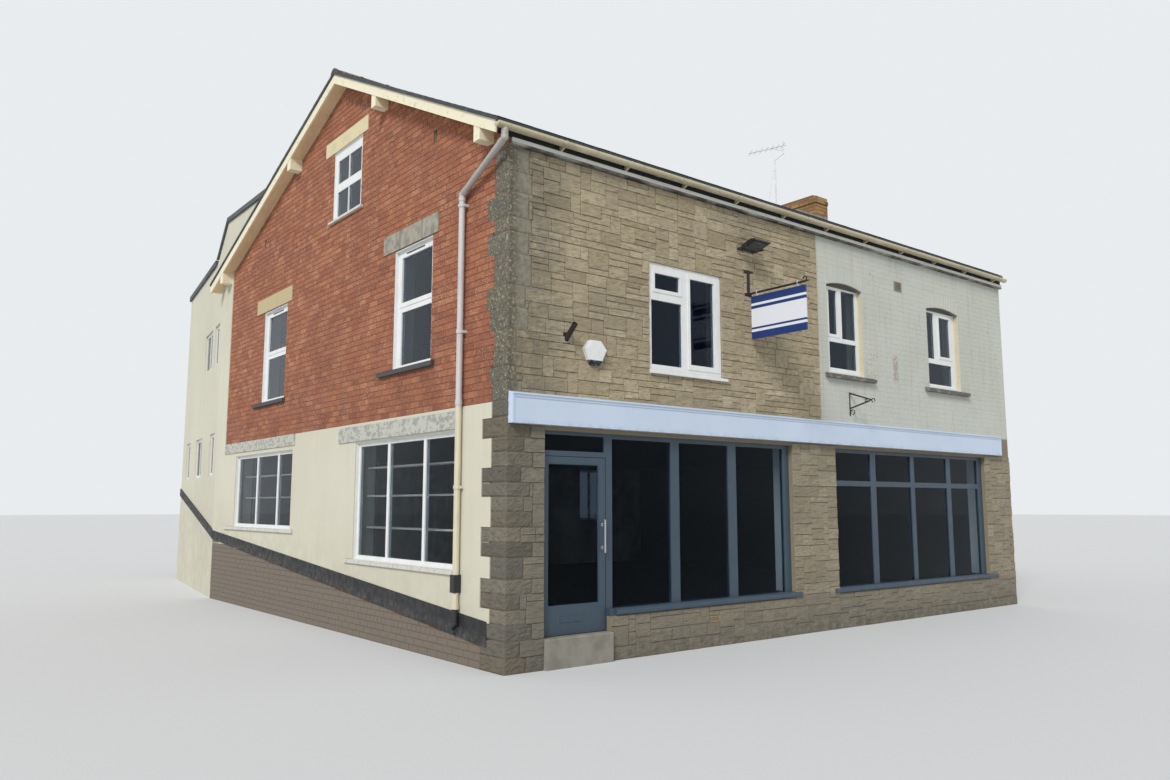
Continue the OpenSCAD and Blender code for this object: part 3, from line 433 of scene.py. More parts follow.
# %% Frames and boards
# Brushed gloss gone to satin: broad highlights, and darker near the foot
slate_blue = finish("slate_blue_gloss_paint", "#3A4B59", 0.38, [
    (patches(350, 0.42, 0.68), "#3D4C58", 0.7),
    (both(along(UP, 0.75, 0.45), patches(60, 0.4, 0.65)), "#354452", 0.6),
    (patches(9, 0.68, 0.72), "#8793A0", 0.5),
], [(grain(3, (1, 1, 0.1)), 0.12)], (patches(120, 0.35, 0.65), 0.52))

# Hard smooth plastic: a clean highlight with thin runs of dirt
white_frame = finish("white_extruded_plastic", "#E4E6E5", 0.28, [
    (streaks(30, 0.55, 0.75), "#C9CAC6", 0.5),
    (patches(200, 0.45, 0.7), "#DADCDA", 0.8),
], [(grain(300), 0.2)], (patches(80, 0.35, 0.65), 0.4))

# Baked powder on flat sheet: white tinted blue as painted sky-lit shade, dull along its lower edge
sign_face = finish("powder_coated_sheet", "#C7D5E8", 0.35, [
    (patches(900, 0.4, 0.7, seed=1), "#BCCBE0", 0.6),
    (both(along(UP, 2.78, 2.715), patches(90, 0.4, 0.65)), "#A6ABB2", 0.6),  # lower edge
], [(grain(500), 0.8)], (patches(150, 0.35, 0.65), 0.5))

# Gloss paint on planed boards: the grain shows, and damp greys it in spots
cream_board = finish("cream_painted_board", "#EAE3C8", 0.5, [
    (patches(30, 0.55, 0.72, (1, 0.15, 1)), "#C9C0A0", 0.5),
    (patches(90, 0.6, 0.7), "#A89F84", 0.5),
], [(grain(6, (1, 0.1, 1)), 0.5)], (patches(100, 0.4, 0.6), 0.65))

# The board behind the gutter: dirty white, with painted shade that turns its lower edge and
# underside nearly black
white_board = finish("white_painted_fascia", "#D9D9D2", 0.45, [
    (both(along(UP, 5.957, 5.954), along(NORTH, 5.0, 4.9)), "#34322E", 1.0),  # lower edge and underside: painted shade
    (patches(40, 0.52, 0.7, (0.2, 1, 1)), "#A9A89E", 0.55),
    (patches(500, 0.45, 0.7), "#C6C5BC", 0.7),
], [(grain(6, (0.1, 1, 1)), 0.4)])

# Stained boards under the eaves: warm, matt and clean, since no rain reaches them
soffit = finish("buff_stained_soffit", "#DCC29A", 0.7, [
    (patches(120, 0.42, 0.66, (1, 0.2, 1)), "#C9AC84", 0.6),
], [(grain(8, (1, 0.1, 1)), 0.5)])
print("frames and boards ready")

# %% [markdown]
# ## Gutter, pipe and metalwork
# The gutter and pipe are plastic that sun and rain have dulled. Brackets are forged and painted,
# the lamp is a casting, and only the door's handle is bare, bright metal.

# %% Gutter, pipe and metalwork
# Plastic that the sun has dulled: chalky cream with streaks, and a belly darker with dirt and with
# painted shade
old_gutter = finish("sun_dulled_gutter", "#CFC4A4", 0.55, [
    (patches(260, 0.5, 0.7, (0.4, 1, 1), seed=1), "#A2977B", 0.6),
    (along(UP, 6.080, 6.045), "#857B61", 0.6),  # belly: dirt and painted shade
    (streaks(35, 0.58, 0.7), "#6F6955", 0.5),
    (patches(600, 0.5, 0.7), "#DDD6BE", 0.5),
], [(grain(40), 0.3)])

# Grey plastic, with painted stretches; the boxed piece and the shoe are black
grey_pipe = finish("weathered_grey_pipe", "#C6C2C1", 0.5, [
    (along(UP, 5.50, 5.58), "#A8A79F", 0.9),  # swan-neck
    (along(UP, 2.98, 2.94), "#D2C9AC", 0.9),  # painted with the wall
    (streaks(25, 0.5, 0.68), "#9A9897", 0.5),
    (between(UP, 0.806, 1.013), "#222325", 1.0),  # boxed piece
    (along(OVER_SLOPE, 0.545, 0.54), "#222325", 1.0),  # shoe
], [(grain(60), 0.3)])

# Forged bar under old paint: uneven, half matt, with rust coming through
black_iron = finish("painted_wrought_iron", "#1C1C1E", 0.5, [
    (patches(25, 0.55, 0.66), "#5A3320", 0.7),
    (patches(7, 0.6, 0.7), "#7A4A2E", 0.5),
], [(grain(9), 0.6)], (patches(20, 0.4, 0.6), 0.85))

# Cast metal with a baked finish: fine grained, with a soft even highlight
black_casting = finish("black_die_casting", "#1A1B1D", 0.45, [
    (patches(50, 0.45, 0.68), "#3A3A39", 0.6),
], [(grain(3), 0.2)])

# Drawn tube with a grey oxide skin, so it reflects only a little
aerial_metal = finish("dulled_aluminium_tube", "#D9DCDE", 0.42, [
    (patches(60, 0.45, 0.65), "#B4B7B9", 0.6),
], [(grain(4), 0.1)], Metallic=0.3)

# Brushed along its length: a bright metal with a highlight drawn out across
steel_bar = finish("brushed_steel_bar", "#C4C6C8", 0.28, [
    (patches(2, 0.4, 0.6, (1, 1, 0.05)), "#AEB0B2", 0.6),
], [(grain(1.5, (1, 1, 0.05)), 0.05)], Metallic=1.0)
print("gutter, pipe and metalwork ready")

# %% [markdown]
# ## Glass
# Window glass has no colour of its own. It shows the dim room behind it, under a thin mirror of
# what stands opposite. Clear glass has an IOR of about 1.5. Here it faces a pale studio and nothing
# darker, so that mirror would be too bright: the IOR is lower, and lowest on the large panes of
# the shop. The base tints stand for the second pane and its coating, and the blue tint of the
# mirror is a painted reflection of sky.

# %% Glass
# The blue specular tint is a painted reflection of sky
pane = {"Transmission Weight": 1.0, "Specular Tint": linear("#AFCBEA")}
rear_panes = [(along(NORTH, 9.9, 10.0), "#465059", 1.0)]  # darker, since the rear rooms are unlit

# Sealed double panes: clear, smooth and dark, with a mirror tinted blue as a painted sky
window_glass = finish("tinted_window_glass", "#AEBECB", 0.0, rear_panes, IOR=1.3, **pane)

# Large flat panes with a coating: clearer, with a fainter mirror
shop_glass = finish("coated_shop_glass", "#BFCBD5", 0.0, rear_panes, IOR=1.16, **pane)
print("glass ready")

# %% [markdown]
# ## Roof coverings
# Slates and ridge tiles are laid one by one further down, so their finishes read a tone for each.
# Felt and lead come in sheets and have one colour, with weather on it.

# %% Roof finishes
# Split slate: blue grey and almost satin, with lichen on the older ones
roof_slate = finish("blue_grey_roof_slate", (
    "#33363B", "#3E4247", "#2B2E33", "#474A4C", "#393C40",
), 0.62, [
    (patches(700, 0.5, 0.7, seed=2), "#55564F", 0.5),
    (patches(45, 0.6, 0.68), "#6D7053", 0.6),
    (patches(18, 0.64, 0.7, seed=3), "#9A9C8B", 0.5),
], [(grain(25), 0.9)])

# Fired clay, dark and porous, where lichen settles first
ridge_clay = finish("lichened_ridge_tile", ("#4A433D", "#574C42", "#3F3B38"), 0.85, [
    (patches(70, 0.48, 0.62), "#7F8060", 0.7),
    (patches(20, 0.58, 0.68), "#A9A68A", 0.6),
], [(grain(14), 1.6)])

# Felt with a skin of crushed slate: matt and sparkling grey
roof_felt = finish("mineral_roof_felt", "#55585A", 0.9, [
    (patches(600, 0.45, 0.65), "#3F4244", 0.7),
    (patches(6, 0.45, 0.7), "#7B7E7E", 0.5),
], [(grain(4), 0.8)])

# The bare edge of felt: black and dull
roof_felt_dark = finish("black_eave_felt", "#232426", 0.9, [
    (patches(80, 0.4, 0.7), "#333435", 0.6),
])

# Beaten sheet: dented, with a white bloom and no mirror shine left
lead_sheet = finish("old_lead_flashing", "#7D8083", 0.55, [
    (patches(120, 0.45, 0.65), "#A3A5A4", 0.6),
    (streaks(30, 0.55, 0.7), "#5E6163", 0.5),
], [(grain(60), 1.5)])
print("roof finishes ready")

# %% [markdown]
# ## Floors, shelves and small castings
# The rooms are dim and only seen through glass, so their finishes are plain. The two vents are one
# node, so one material tells the clay one from the metal one by height, and paints their slots dark
# as shade.

# %% Floors, shelves, vents and lens
# The floors of the slots are shallow, so their dark is painted shade
low_slot_shade = both(along(UP, 1.0, 0.9), along(NORTH, -0.004, -0.002))
high_slot_shade = both(along(UP, 1.0, 1.1), along(NORTH, -0.008, -0.005))

# Walked boards: dark along the grain, with a trace of polish
floor_boards = finish("worn_floor_boards", "#4E4032", 0.6, [
    (patches(60, 0.4, 0.66, (0.1, 1, 1)), "#3A2F26", 0.6),
], [(grain(8), 0.4)])

# Hard sheet flooring, seen only as a dark matt plane
shop_floor = finish("dark_shop_floor", "#3B3A39", 0.7, [
    (patches(300, 0.4, 0.66), "#2E2D2C", 0.6),
], [(grain(6), 0.3)])

# Painted boards: cream shelves, and whiter lining at the shop windows
shelf_board = finish("pale_shelf_board", "#EDE4C8", 0.55, [
    (patches(50, 0.42, 0.66, (1, 0.1, 1)), "#D8CDAC", 0.6),
    (along(EAST, 1.5, 1.6), "#E9E9E4", 1.0),  # lining boards
], [(grain(6), 0.2)])

# Fired clay low down, dusty grey metal high up, with painted shade in the slots
fired_vent = finish("dusty_clay_vent", "#8F8879", 0.85, [
    (along(UP, 1.0, 0.9), "#A58D66", 0.8),  # the clay one
    (patches(30, 0.42, 0.66), "#776F5E", 0.5),
    (low_slot_shade, "#29251F", 1.0),
    (high_slot_shade, "#5A544A", 1.0),
], [(grain(6), 0.6)])

# Smoked glass with a reflector behind: dark and smooth, with lighter patches as painted reflections
lamp_glass = finish("smoked_lamp_glass", "#33373C", 0.12, [
    # lighter patches: painted reflections
    (patches(60, 0.45, 0.62), "#4D5358", 0.7),
], [(patches(10, 0.4, 0.6), 0.1)])
print("floors and small fittings ready")

# %% [markdown]
# ## The hanging board and the alarm box
# The hanging board is plain sheet with painted bands, navy above and below and a white field
# between. The alarm box is white plastic with a dark bar along its foot. Bands like these could be
# thin boxes, but paint has no thickness to see, so ramps along the height draw them.

# %% Painted bands
NAVY = "#1B3670"
# Painted sheet: smooth and half glossy, its bands with sharp edges
board_face = finish("navy_and_white_board", "#E1E3EA", 0.35, [
    (between(UP, 4.613, 4.720), NAVY, 1.0),
    (between(UP, 4.535, 4.581), NAVY, 1.0),
    (between(UP, 4.245, 4.275), NAVY, 1.0),
    (along(UP, 4.210, 4.208), NAVY, 1.0),
], [(grain(300), 0.5)], (patches(90, 0.4, 0.6), 0.5))

# Moulded plastic: smooth, white and half glossy
alarm_shell = finish("white_moulded_box", "#E3E5E6", 0.35, [
    (along(UP, 3.531, 3.527), "#182228", 1.0),  # bar along the foot
    (patches(60, 0.5, 0.7), "#CDCFCE", 0.5),
], [(grain(200), 0.2)])
print("painted bands ready")

# %% [markdown]
# ## Dressing the solids
# The solids of the frame keep their shape and only get a finish. Where a wall is to be laid over
# with bricks or stones, its solid shows in the joints, so it gets the mortar.

# %% Dress the frame's own nodes
# The mortar of the gable, the paint round its foot and the plaster behind it, darkened as painted
# shade
gable_back = finish("gable_masonry", "#7D5844", 0.94, [
    *sandy,
    (both(along(UP, 2.975, 2.973), along(UP, 1.0, 1.02)), WALL_PAINT, 1.0),  # ground floor
    (along(EAST, 0.09, 0.10), "#8D8C7C", 1.0),
    (both(along(EAST, 0.01, 0.012), along(UP, 2.9, 2.95)), "#8D8C7C", 1.0),
    (along(EAST, 0.30, 0.31), SHADED_INSIDE, 1.0),  # behind the wall: painted shade
], [(grain(6), 0.9)])
dress(stone_mortar, "front_wall_stone", "shop_beam", "shop_piers", "stall_risers")
dress(cream_brick, "front_wall_painted")
dress(step_stone, "door_step")
dress(sign_face, "sign_board")
dress(slate_blue, "shop_windows", "door_frame", "shop_door")
dress(window_glass, "upper_glass")
dress(shop_glass, "ground_floor_glass", "door_glass")
dress(gable_back, "gable_wall")
dress(cream_render, "gable_render", "rear_wall", "wing_side_wall", "wing_rear_walls", "dormer")
dress(lintel_stone, "gable_lintels")
dress(window_sill, "window_sills")
dress(black_plinth, "plinth")
dress(white_frame, "gable_windows", "front_windows", "rear_windows")
dress(shelf_board, "window_boards")
dress(lime_mortar, "party_wall")
dress(roof_felt, "wing_roof")
dress(shop_floor, "ground_floor")
dress(floor_boards, "upper_floors")
dress(roof_slate, "roof_covering")
dress(soffit, "roof_deck")
dress(cream_board, "barge_boards")
dress(white_board, "eave_boards")
dress(old_gutter, "gutter")
dress(grey_pipe, "downpipe")
dress(lime_mortar, "chimney")
dress(aerial_metal, "aerial")
dress(black_iron, "sign_bracket", "scroll_bracket", "flagpole_holder")
dress(black_casting, "floodlight")
dress(board_face, "hanging_sign")
dress(alarm_shell, "alarm_box")
dress(fired_vent, "wall_vents")
dress(steel_bar, "door_handle")
print("all nodes dressed")

# %% [markdown]
# ## Laying units with Geometry Nodes
# Bricks, stones and slates are one job done many times, so one node tree does it. It gets a point
# for each unit with its size, puts a block there, turns it by a hair, gives it a tone of its own,
# and draws its front edges in, so that the arris catches light. A noise then breaks the face.
# Blocks are laid on a flat drawing of the wall: across, up and out. A picture of bricks on a flat
# wall would be lighter, but joints that are really deep keep their shade from every side.

# %% The laying tree
# The kind of each input, and its value where none is given
INPUTS = {
    "Geometry": ("Geometry", None),
    "Unit": ("Object", None),
    "Arris": ("Float", 0.002),
    "Stand out": ("Float", 0.001),
    "Turn": ("Float", 0.002),
    "Lean": ("Float", 0.0),
    "Break": ("Float", 0.001),
    "Break size": ("Float", 0.05),
    "Seed": ("Int", 1),
    "Finish": ("Material", None),
}
# What each point of the drawing or of a unit brings along
STORED = {"size": "FLOAT_VECTOR", "turn": "FLOAT_VECTOR", "edge": "FLOAT_VECTOR",
          "face": "FLOAT", "broken": "FLOAT", "proud": "FLOAT"}
DRAWN_OUT = (0.7, 1.8, 1)  # a break runs further across a face than up it


def laying_tree():
    """Points with sizes in, laid and broken units out."""
    tree = bpy.data.node_groups.new("lay units on a wall", "GeometryNodeTree")
    for label, (kind, value) in INPUTS.items():
        made = tree.interface.new_socket(label, in_out="INPUT", socket_type="NodeSocket" + kind)
        if value is not None:
            made.default_value = value
    tree.interface.new_socket("Geometry", in_out="OUTPUT", socket_type="NodeSocketGeometry")
    given = add(tree, "NodeGroupInput").outputs
    stored = {}
    for name, kind in STORED.items():
        read = add(tree, "GeometryNodeInputNamedAttribute", {"Name": name}, data_type=kind)
        stored[name] = read.outputs[0]
    # A unit is turned by its own angle, a random hair and the lean of them all
    hair = {0: (-1, -1, -1), 1: (1, 1, 1), "Seed": given["Seed"]}
    hair = add(tree, "FunctionNodeRandomValue", hair, data_type="FLOAT_VECTOR").outputs[0]
    hair = {0: hair, "Scale": given["Turn"]}
    hair = add(tree, "ShaderNodeVectorMath", hair, operation="SCALE").outputs[0]
    lean = add(tree, "ShaderNodeCombineXYZ", {"X": given["Lean"]}).outputs[0]
    angle = stored["turn"]
    for more in (hair, lean):
        angle = add(tree, "ShaderNodeVectorMath", {0: angle, 1: more}, operation="ADD").outputs[0]
    block = add(tree, "GeometryNodeObjectInfo", {"Object": given["Unit"]}).outputs["Geometry"]
    laid = {"Points": given["Geometry"], "Instance": block}
    laid.update({"Rotation": angle, "Scale": stored["size"]})
    laid = add(tree, "GeometryNodeInstanceOnPoints", laid).outputs[0]
    # Three random numbers say how light, how broken and how proud it is
    for step, attribute in enumerate(("tone", "broken", "proud"), 1):
        seed = {0: given["Seed"], 1: float(step)}
        seed = add(tree, "ShaderNodeMath", seed, operation="ADD").outputs[0]
        chance = {2: 0.0, 3: 1.0, "Seed": seed}  # 2 and 3 are its least and most
        chance = add(tree, "FunctionNodeRandomValue", chance, data_type="FLOAT").outputs[1]
        store = {"Geometry": laid, "Name": attribute, "Value": chance}
        laid = add(tree, "GeometryNodeStoreNamedAttribute", store,
                   data_type="FLOAT", domain="INSTANCE").outputs[0]
    laid = add(tree, "GeometryNodeRealizeInstances", {"Geometry": laid}).outputs[0]
    # Its face stands out by a share of its own, and a noise breaks it
    place = {0: add(tree, "GeometryNodeInputPosition").outputs[0], 1: DRAWN_OUT}
    place = add(tree, "ShaderNodeVectorMath", place, operation="MULTIPLY").outputs[0]
    scale = {0: 1.0, 1: given["Break size"]}
    scale = add(tree, "ShaderNodeMath", scale, operation="DIVIDE").outputs[0]
    cloud = {"Vector": place, "Scale": scale, "Detail": 3.0}
    cloud = add(tree, "ShaderNodeTexNoise", cloud).outputs["Fac"]
    rise = add(tree, "ShaderNodeMath", {0: cloud, 1: 0.5}, operation="SUBTRACT").outputs[0]
    for share in (given["Break"], stored["broken"]):
        rise = add(tree, "ShaderNodeMath", {0: rise, 1: share}, operation="MULTIPLY").outputs[0]
    rise = {0: stored["proud"], 1: given["Stand out"], 2: rise}
    rise = add(tree, "ShaderNodeMath", rise, operation="MULTIPLY_ADD").outputs[0]
    rise = {0: rise, 1: stored["face"]}
    rise = add(tree, "ShaderNodeMath", rise, operation="MULTIPLY").outputs[0]
    out = add(tree, "ShaderNodeCombineXYZ", {"Z": rise}).outputs[0]
    # The arris draws its front edges in
    drawn = {0: stored["edge"], "Scale": given["Arris"]}
    drawn = add(tree, "ShaderNodeVectorMath", drawn, operation="SCALE").outputs[0]
    drawn = add(tree, "ShaderNodeVectorMath", {0: drawn, 1: out}, operation="ADD").outputs[0]
    laid = add(tree, "GeometryNodeSetPosition", {"Geometry": laid, "Offset": drawn}).outputs[0]
    laid = {"Geometry": laid, "Material": given["Finish"]}
    laid = add(tree, "GeometryNodeSetMaterial", laid).outputs[0]
    add(tree, "NodeGroupOutput", {"Geometry": laid})
    return tree


LAYING = laying_tree()
print("the laying tree has", len(LAYING.nodes), "nodes")

# %% [markdown]
# The units themselves are blocks one wide, one high and one deep, which the tree stretches. A
# brick's face needs few points and a stone's more, because the noise moves them in and out. Three
# small helpers make a mesh, keep numbers on its points and put an object in the scene.

# %% The units


def mesh_of(name, points, faces=()):
    """A mesh of these points and faces."""
    mesh = bpy.data.meshes.new(name)
    mesh.from_pydata(points, [], faces)
    return mesh


def keep(mesh, name, values):
    """Stores a number or a vector for each point of a mesh."""
    if isinstance(values[0], tuple):
        vectors = mesh.attributes.new(name, "FLOAT_VECTOR", "POINT")
        vectors.data.foreach_set("vector", [x for value in values for x in value])
    else:
        mesh.attributes.new(name, "FLOAT", "POINT").data.foreach_set("value", values)


def show(name, data):
    """An object with this data, linked to the scene."""
    made = bpy.data.objects.new(name, data)
    bpy.context.scene.collection.objects.link(made)
    return made


def unit_block(name, across, up):
    """A closed block one unit wide, high and deep. Its face is a grid, and each point's 'edge' says
    which way the arris draws it."""
    points, edge, faces = [], [], []
    for j in range(up + 1):
        for i in range(across + 1):
            points.append((i / across - 0.5, j / up - 0.5, 1.0))
            edge.append(((i == 0) - (i == across), (j == 0) - (j == up), 0))
    row = across + 1
    for j in range(up):
        for i in range(across):
            faces.append((j * row + i, j * row + i + 1, (j + 1) * row + i + 1, (j + 1) * row + i))
    rim = list(range(across)) + [j * row + across for j in range(up)]
    rim += [up * row + i for i in range(across, 0, -1)] + [j * row for j in range(up, 0, -1)]
    face = [1.0] * len(points)
    for depth, draw in ((1.0, -1), (0.0, 0)):
        for k in rim:
            points.append((points[k][0], points[k][1], depth))
            edge.append((0, 0, draw))
            face.append(0.5 if draw else 0.0)
    count, first = len(rim), row * (up + 1)
    rings = [rim, [first + k for k in range(count)], [first + count + k for k in range(count)]]
    for outer, inner in zip(rings, rings[1:]):
        for k in range(count):
            n = (k + 1) % count
            faces.append((outer[k], inner[k], inner[n], outer[n]))
    faces.append(tuple(reversed(rings[2])))
    mesh = mesh_of(name, points, faces)
    keep(mesh, "edge", edge)
    keep(mesh, "face", face)
    return bpy.data.objects.new(name, mesh)


brick_unit = unit_block("brick_unit", 3, 2)
plain_unit = unit_block("plain_unit", 1, 1)
stone_unit = unit_block("stone_unit", 6, 4)
print("a stone has", len(stone_unit.data.polygons), "faces")

# %% [markdown]
# ## From the drawing to the wall
# A unit on the drawing is (centre across, centre up, start of its depth, width, height, depth), and
# may have a turn. After the tree has run, the result is turned into a plain mesh and moved onto its
# wall. A wall that faces the other way round mirrors the drawing, so its faces are flipped back.

# %% Lay a wall
# Each matrix takes the drawing's across, up and out to a wall
FRONT = Matrix(((1, 0, 0, 0), (0, 0, -1, 0), (0, 1, 0, 0), (0, 0, 0, 1)))
GABLE = Matrix(((0, 0, -1, 0), (1, 0, 0, 0), (0, 1, 0, 0), (0, 0, 0, 1)))
PARTY = Matrix(((0, 0, 1, 0), (1, 0, 0, 0), (0, 1, 0, 0), (0, 0, 0, 1)))
BACK = Matrix(((1, 0, 0, 0), (0, 0, 1, 0), (0, 1, 0, 0), (0, 0, 0, 1)))


def own(name, mesh, body="building"):
    """Puts a finished mesh in the scene, riding on its body."""
    made = show(name, mesh)
    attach(made, body)
    return made


def laid(name, drawings, unit, material, slot, **settings):
    """Runs the laying tree on each (wall matrix, units) and joins the results in one mesh."""
    parts = []
    for wall, units in drawings:
        mesh = mesh_of(name, [u[:3] for u in units])
        keep(mesh, "size", [u[3:6] for u in units])
        keep(mesh, "turn", [u[6] if len(u) > 6 else (0, 0, 0) for u in units])
        holder = show(name, mesh)
        lay = holder.modifiers.new("lay", "NODES")
        lay.node_group = LAYING
        values = {"Unit": unit, "Finish": material, "Seed": len(units) + len(parts), **settings}
        for item in LAYING.interface.items_tree:
            if item.in_out == "INPUT" and item.name in values:
                lay[item.identifier] = values[item.name]
        holder.update_tag()
        graph = bpy.context.evaluated_depsgraph_get()
        plain = bpy.data.meshes.new_from_object(
            holder.evaluated_get(graph), preserve_all_data_layers=True, depsgraph=graph
        )
        plain.transform(wall)
        if wall.determinant() < 0:
            plain.flip_normals()
        bpy.data.objects.remove(holder)
        parts.append(show(name, plain))
    if len(parts) > 1:
        with bpy.context.temp_override(active_object=parts[0], selected_editable_objects=parts):
            bpy.ops.object.join()
    mesh = parts[0].data
    bpy.data.objects.remove(parts[0])
    made = own(name, mesh)
    print(name, "units", sum(len(u) for _, u in drawings), "faces", len(mesh.polygons))
    return made


print("the gable's drawing goes across along Y, up along Z and out against X")

# %% [markdown]
# ## Brick bond
# Bricks are 228 by 73 mm with joints of about 10 mm, so a course is 82.5 mm. Most courses are
# stretchers, and every fourth is of headers, which ties a solid wall through. A course is cut where
# a window or the roof slope meets it.

# %% Courses
COURSE, STRETCHER, JOINT = 0.0825, 0.238, 0.010
FOOT_BED, ROWS = 0.003, 102  # the lowest bed, and the courses from there to the ridge
SLIVER, SHORT_BRICK = 0.03, 0.05  # the least stretch that gets bricks, and the least cut brick


def clear(left, right, height, holes):
    """The stretches of a course between left and right that no hole takes."""
    spans = [(left, right)]
    for u0, v0, u1, v1 in holes:
        if v0 < height < v1:
            halves = [half for a, b in spans for half in ((a, min(b, u0)), (max(a, u1), b))]
            spans = [(a, b) for a, b in halves if b - a > SLIVER]
    return spans


def cuts_in(a, b, pitch, shift, least):
    """Where units of this pitch, the first at shift, end between a and b."""
    first = math.ceil((a + least - shift) / pitch)
    cuts = [shift + k * pitch for k in range(first, first + int((b - a) / pitch) + 2)]
    return [cut for cut in cuts if a + least < cut < b - least]


def courses(low, rows, limits, holes, depth=0.006, sunk=0.002, headers=4):
    """Bricks for rows above low; limits(height) gives the course's two ends, or None."""
    units = []
    for row in range(rows):
        height = low + (row + 0.5) * COURSE
        ends = limits(height)
        if not ends:
            continue
        header = row % headers == headers - 1
        pitch = STRETCHER / 2 if header else STRETCHER
        shift = STRETCHER / 4 if header else (row % 2) * STRETCHER / 2
        for a, b in clear(*ends, height, holes):
            inner = cuts_in(a, b, pitch, shift, SHORT_BRICK)
            cuts = [a - JOINT / 2, *inner, b + JOINT / 2]
            for p, q in zip(cuts, cuts[1:]):
                units.append(((p + q) / 2, height, -sunk, q - p - JOINT, COURSE - JOINT, depth))
    return units


print("courses from the foot reach", round(FOOT_BED + ROWS * COURSE, 3), "m")

# %% [markdown]
# The gable's courses end under two roof slopes of unequal pitch, at the corner stones, at the
# rendered strip behind and, low down, at the black band that climbs towards the back. So each
# course asks a rule where its two ends are.

# %% The outline of the gable
FRONT_WALL, DEPTH = 0.33, 10.4  # the front wall's thickness, and how deep the building is
BAND_TOP, STRIP_Y = 2.973, 9.84  # top of the ground floor's stones, and start of the rear strip
UNDER_BAND = 0.06  # the footing's bricks end this far below the slope
RIDGE_Y, RIDGE_Z, UNDER = 4.65, 8.570, 0.190  # the ridge, and how far the bricks stay below it
EAVE = (-0.100, 6.170)
REAR = (10.680, 6.315)
FRONT_PITCH = (RIDGE_Z - EAVE[1]) / (RIDGE_Y - EAVE[0])
REAR_PITCH = (RIDGE_Z - REAR[1]) / (REAR[0] - RIDGE_Y)
pitches = [round(math.degrees(math.atan(pitch)), 1) for pitch in (FRONT_PITCH, REAR_PITCH)]
print("the roof's pitches in degrees", pitches)


def under_roof(height, left, right):
    """The ends of a course under both slopes."""
    drop = RIDGE_Z - UNDER - height
    ends = max(left, RIDGE_Y - drop / FRONT_PITCH), min(right, RIDGE_Y + drop / REAR_PITCH)
    return ends if ends[1] - ends[0] > 2 * SLIVER else None


# Corner stones from the foot up: the top of each, its reach along the gable and along the front
CORNER = (
    (0.170, 0.480, 0.28), (0.345, 0.480, 0.20), (0.517, 0.480, 0.36), (0.675, 0.285, 0.28),
    (0.840, 0.480, 0.20), (1.003, 0.480, 0.36), (1.239, 0.285, 0.24), (1.400, 0.480, 0.36),
    (1.568, 0.480, 0.20), (1.740, 0.285, 0.36), (1.903, 0.285, 0.24), (2.060, 0.480, 0.32),
    (2.230, 0.480, 0.20), (2.400, 0.285, 0.36), (2.560, 0.285, 0.24), (2.790, 0.480, 0.32),
    (2.973, 0.285, 0.36), (3.200, 0.300, 0.20), (3.360, 0.360, 0.12), (3.524, 0.280, 0.20),
    (3.780, 0.260, 0.12), (4.043, 0.360, 0.28), (4.301, 0.430, 0.24), (4.669, 0.285, 0.32),
    (4.919, 0.430, 0.28), (5.094, 0.285, 0.32), (5.391, 0.430, 0.28), (5.634, 0.285, 0.32),
    (5.925, 0.285, 0.28),
)
LEVELS = [0] + [top for top, _, _ in CORNER]


def gable_course(height):
    """The ends of a course of the gable, below the black band or above the ground floor."""
    if height < BAND_TOP:
        start = max(FRONT_WALL, (height + UNDER_BAND - SLOPE_FOOT) / SLOPE)
        return (start, DEPTH) if start < DEPTH - 0.2 else None
    reach = next((side for top, side, _ in CORNER if height < top), 0.0)
    return under_roof(height, reach + JOINT / 2, STRIP_Y)


print("corner stones", len(CORNER))

# %% [markdown]
# The windows of the gable are holes in the drawing, each as (near end, foot, far end, head): two on
# the upper floor, one in the attic, and the attic's two narrow slots.

# %% Bricks of the gable
gable_holes = [
    (1.746, 3.640, 2.803, 5.279),
    (6.831, 3.640, 7.944, 5.279),
    (3.986, 6.272, 5.015, 7.395),
    (1.700, 6.512, 1.790, 6.722),
    (8.035, 6.530, 8.135, 6.680),
]
gable_bricks = courses(FOOT_BED, ROWS, gable_course, gable_holes)
laid("gable_bricks", [(GABLE, gable_bricks)], brick_unit, red_brick, "red_brick",
     **{"Arris": 0.0025, "Stand out": 0.0022, "Turn": 0.006, "Break": 0.004, "Break size": 0.03})

# %% [markdown]
# ## The painted brick wall
# Paint fills the joints, so these bricks stand only a little proud and their edges are soft. Over
# each window a flat arch of bricks on end is fanned about the arch's centre.

# %% Painted bricks
SEAM, FRONT_END = 5.64, 11.32  # where stone gives way to paint, and the front's right end
PAINTED_FOOT, PAINTED_ROWS = 3.050, 35
ARCH_SPRING, ARCH_RISE = 5.204, 0.062
arches = [(5.882, 6.796), (8.705, 9.738)]  # the two windows' left and right sides
WINDOW_FOOT, WINDOW_HEAD = 3.820, 5.266
FAN_FOOT, FAN_TOP, FAN_OUT = 5.20, 5.47, 0.02  # the fans' band, and how far they pass the sides


def fan(u0, u1, tall=0.215, thick=0.075, joint=0.008):
    """Bricks on end round a shallow arch between two sides."""
    half = (u1 - u0) / 2
    radius = (half * half + ARCH_RISE * ARCH_RISE) / (2 * ARCH_RISE)
    reach = math.asin(half / radius) + 0.01
    count = round(2 * reach * radius / thick)
    centre = Vector(((u0 + u1) / 2, ARCH_SPRING + ARCH_RISE - radius))
    units = []
    for k in range(count):
        a = -reach + (k + 0.5) * 2 * reach / count
        at = centre + Vector((math.sin(a), math.cos(a))) * (radius + tall / 2 + joint / 2)
        units.append((at.x, at.y, -0.002, thick - joint, tall, 0.007, (0, 0, -a)))
    return units


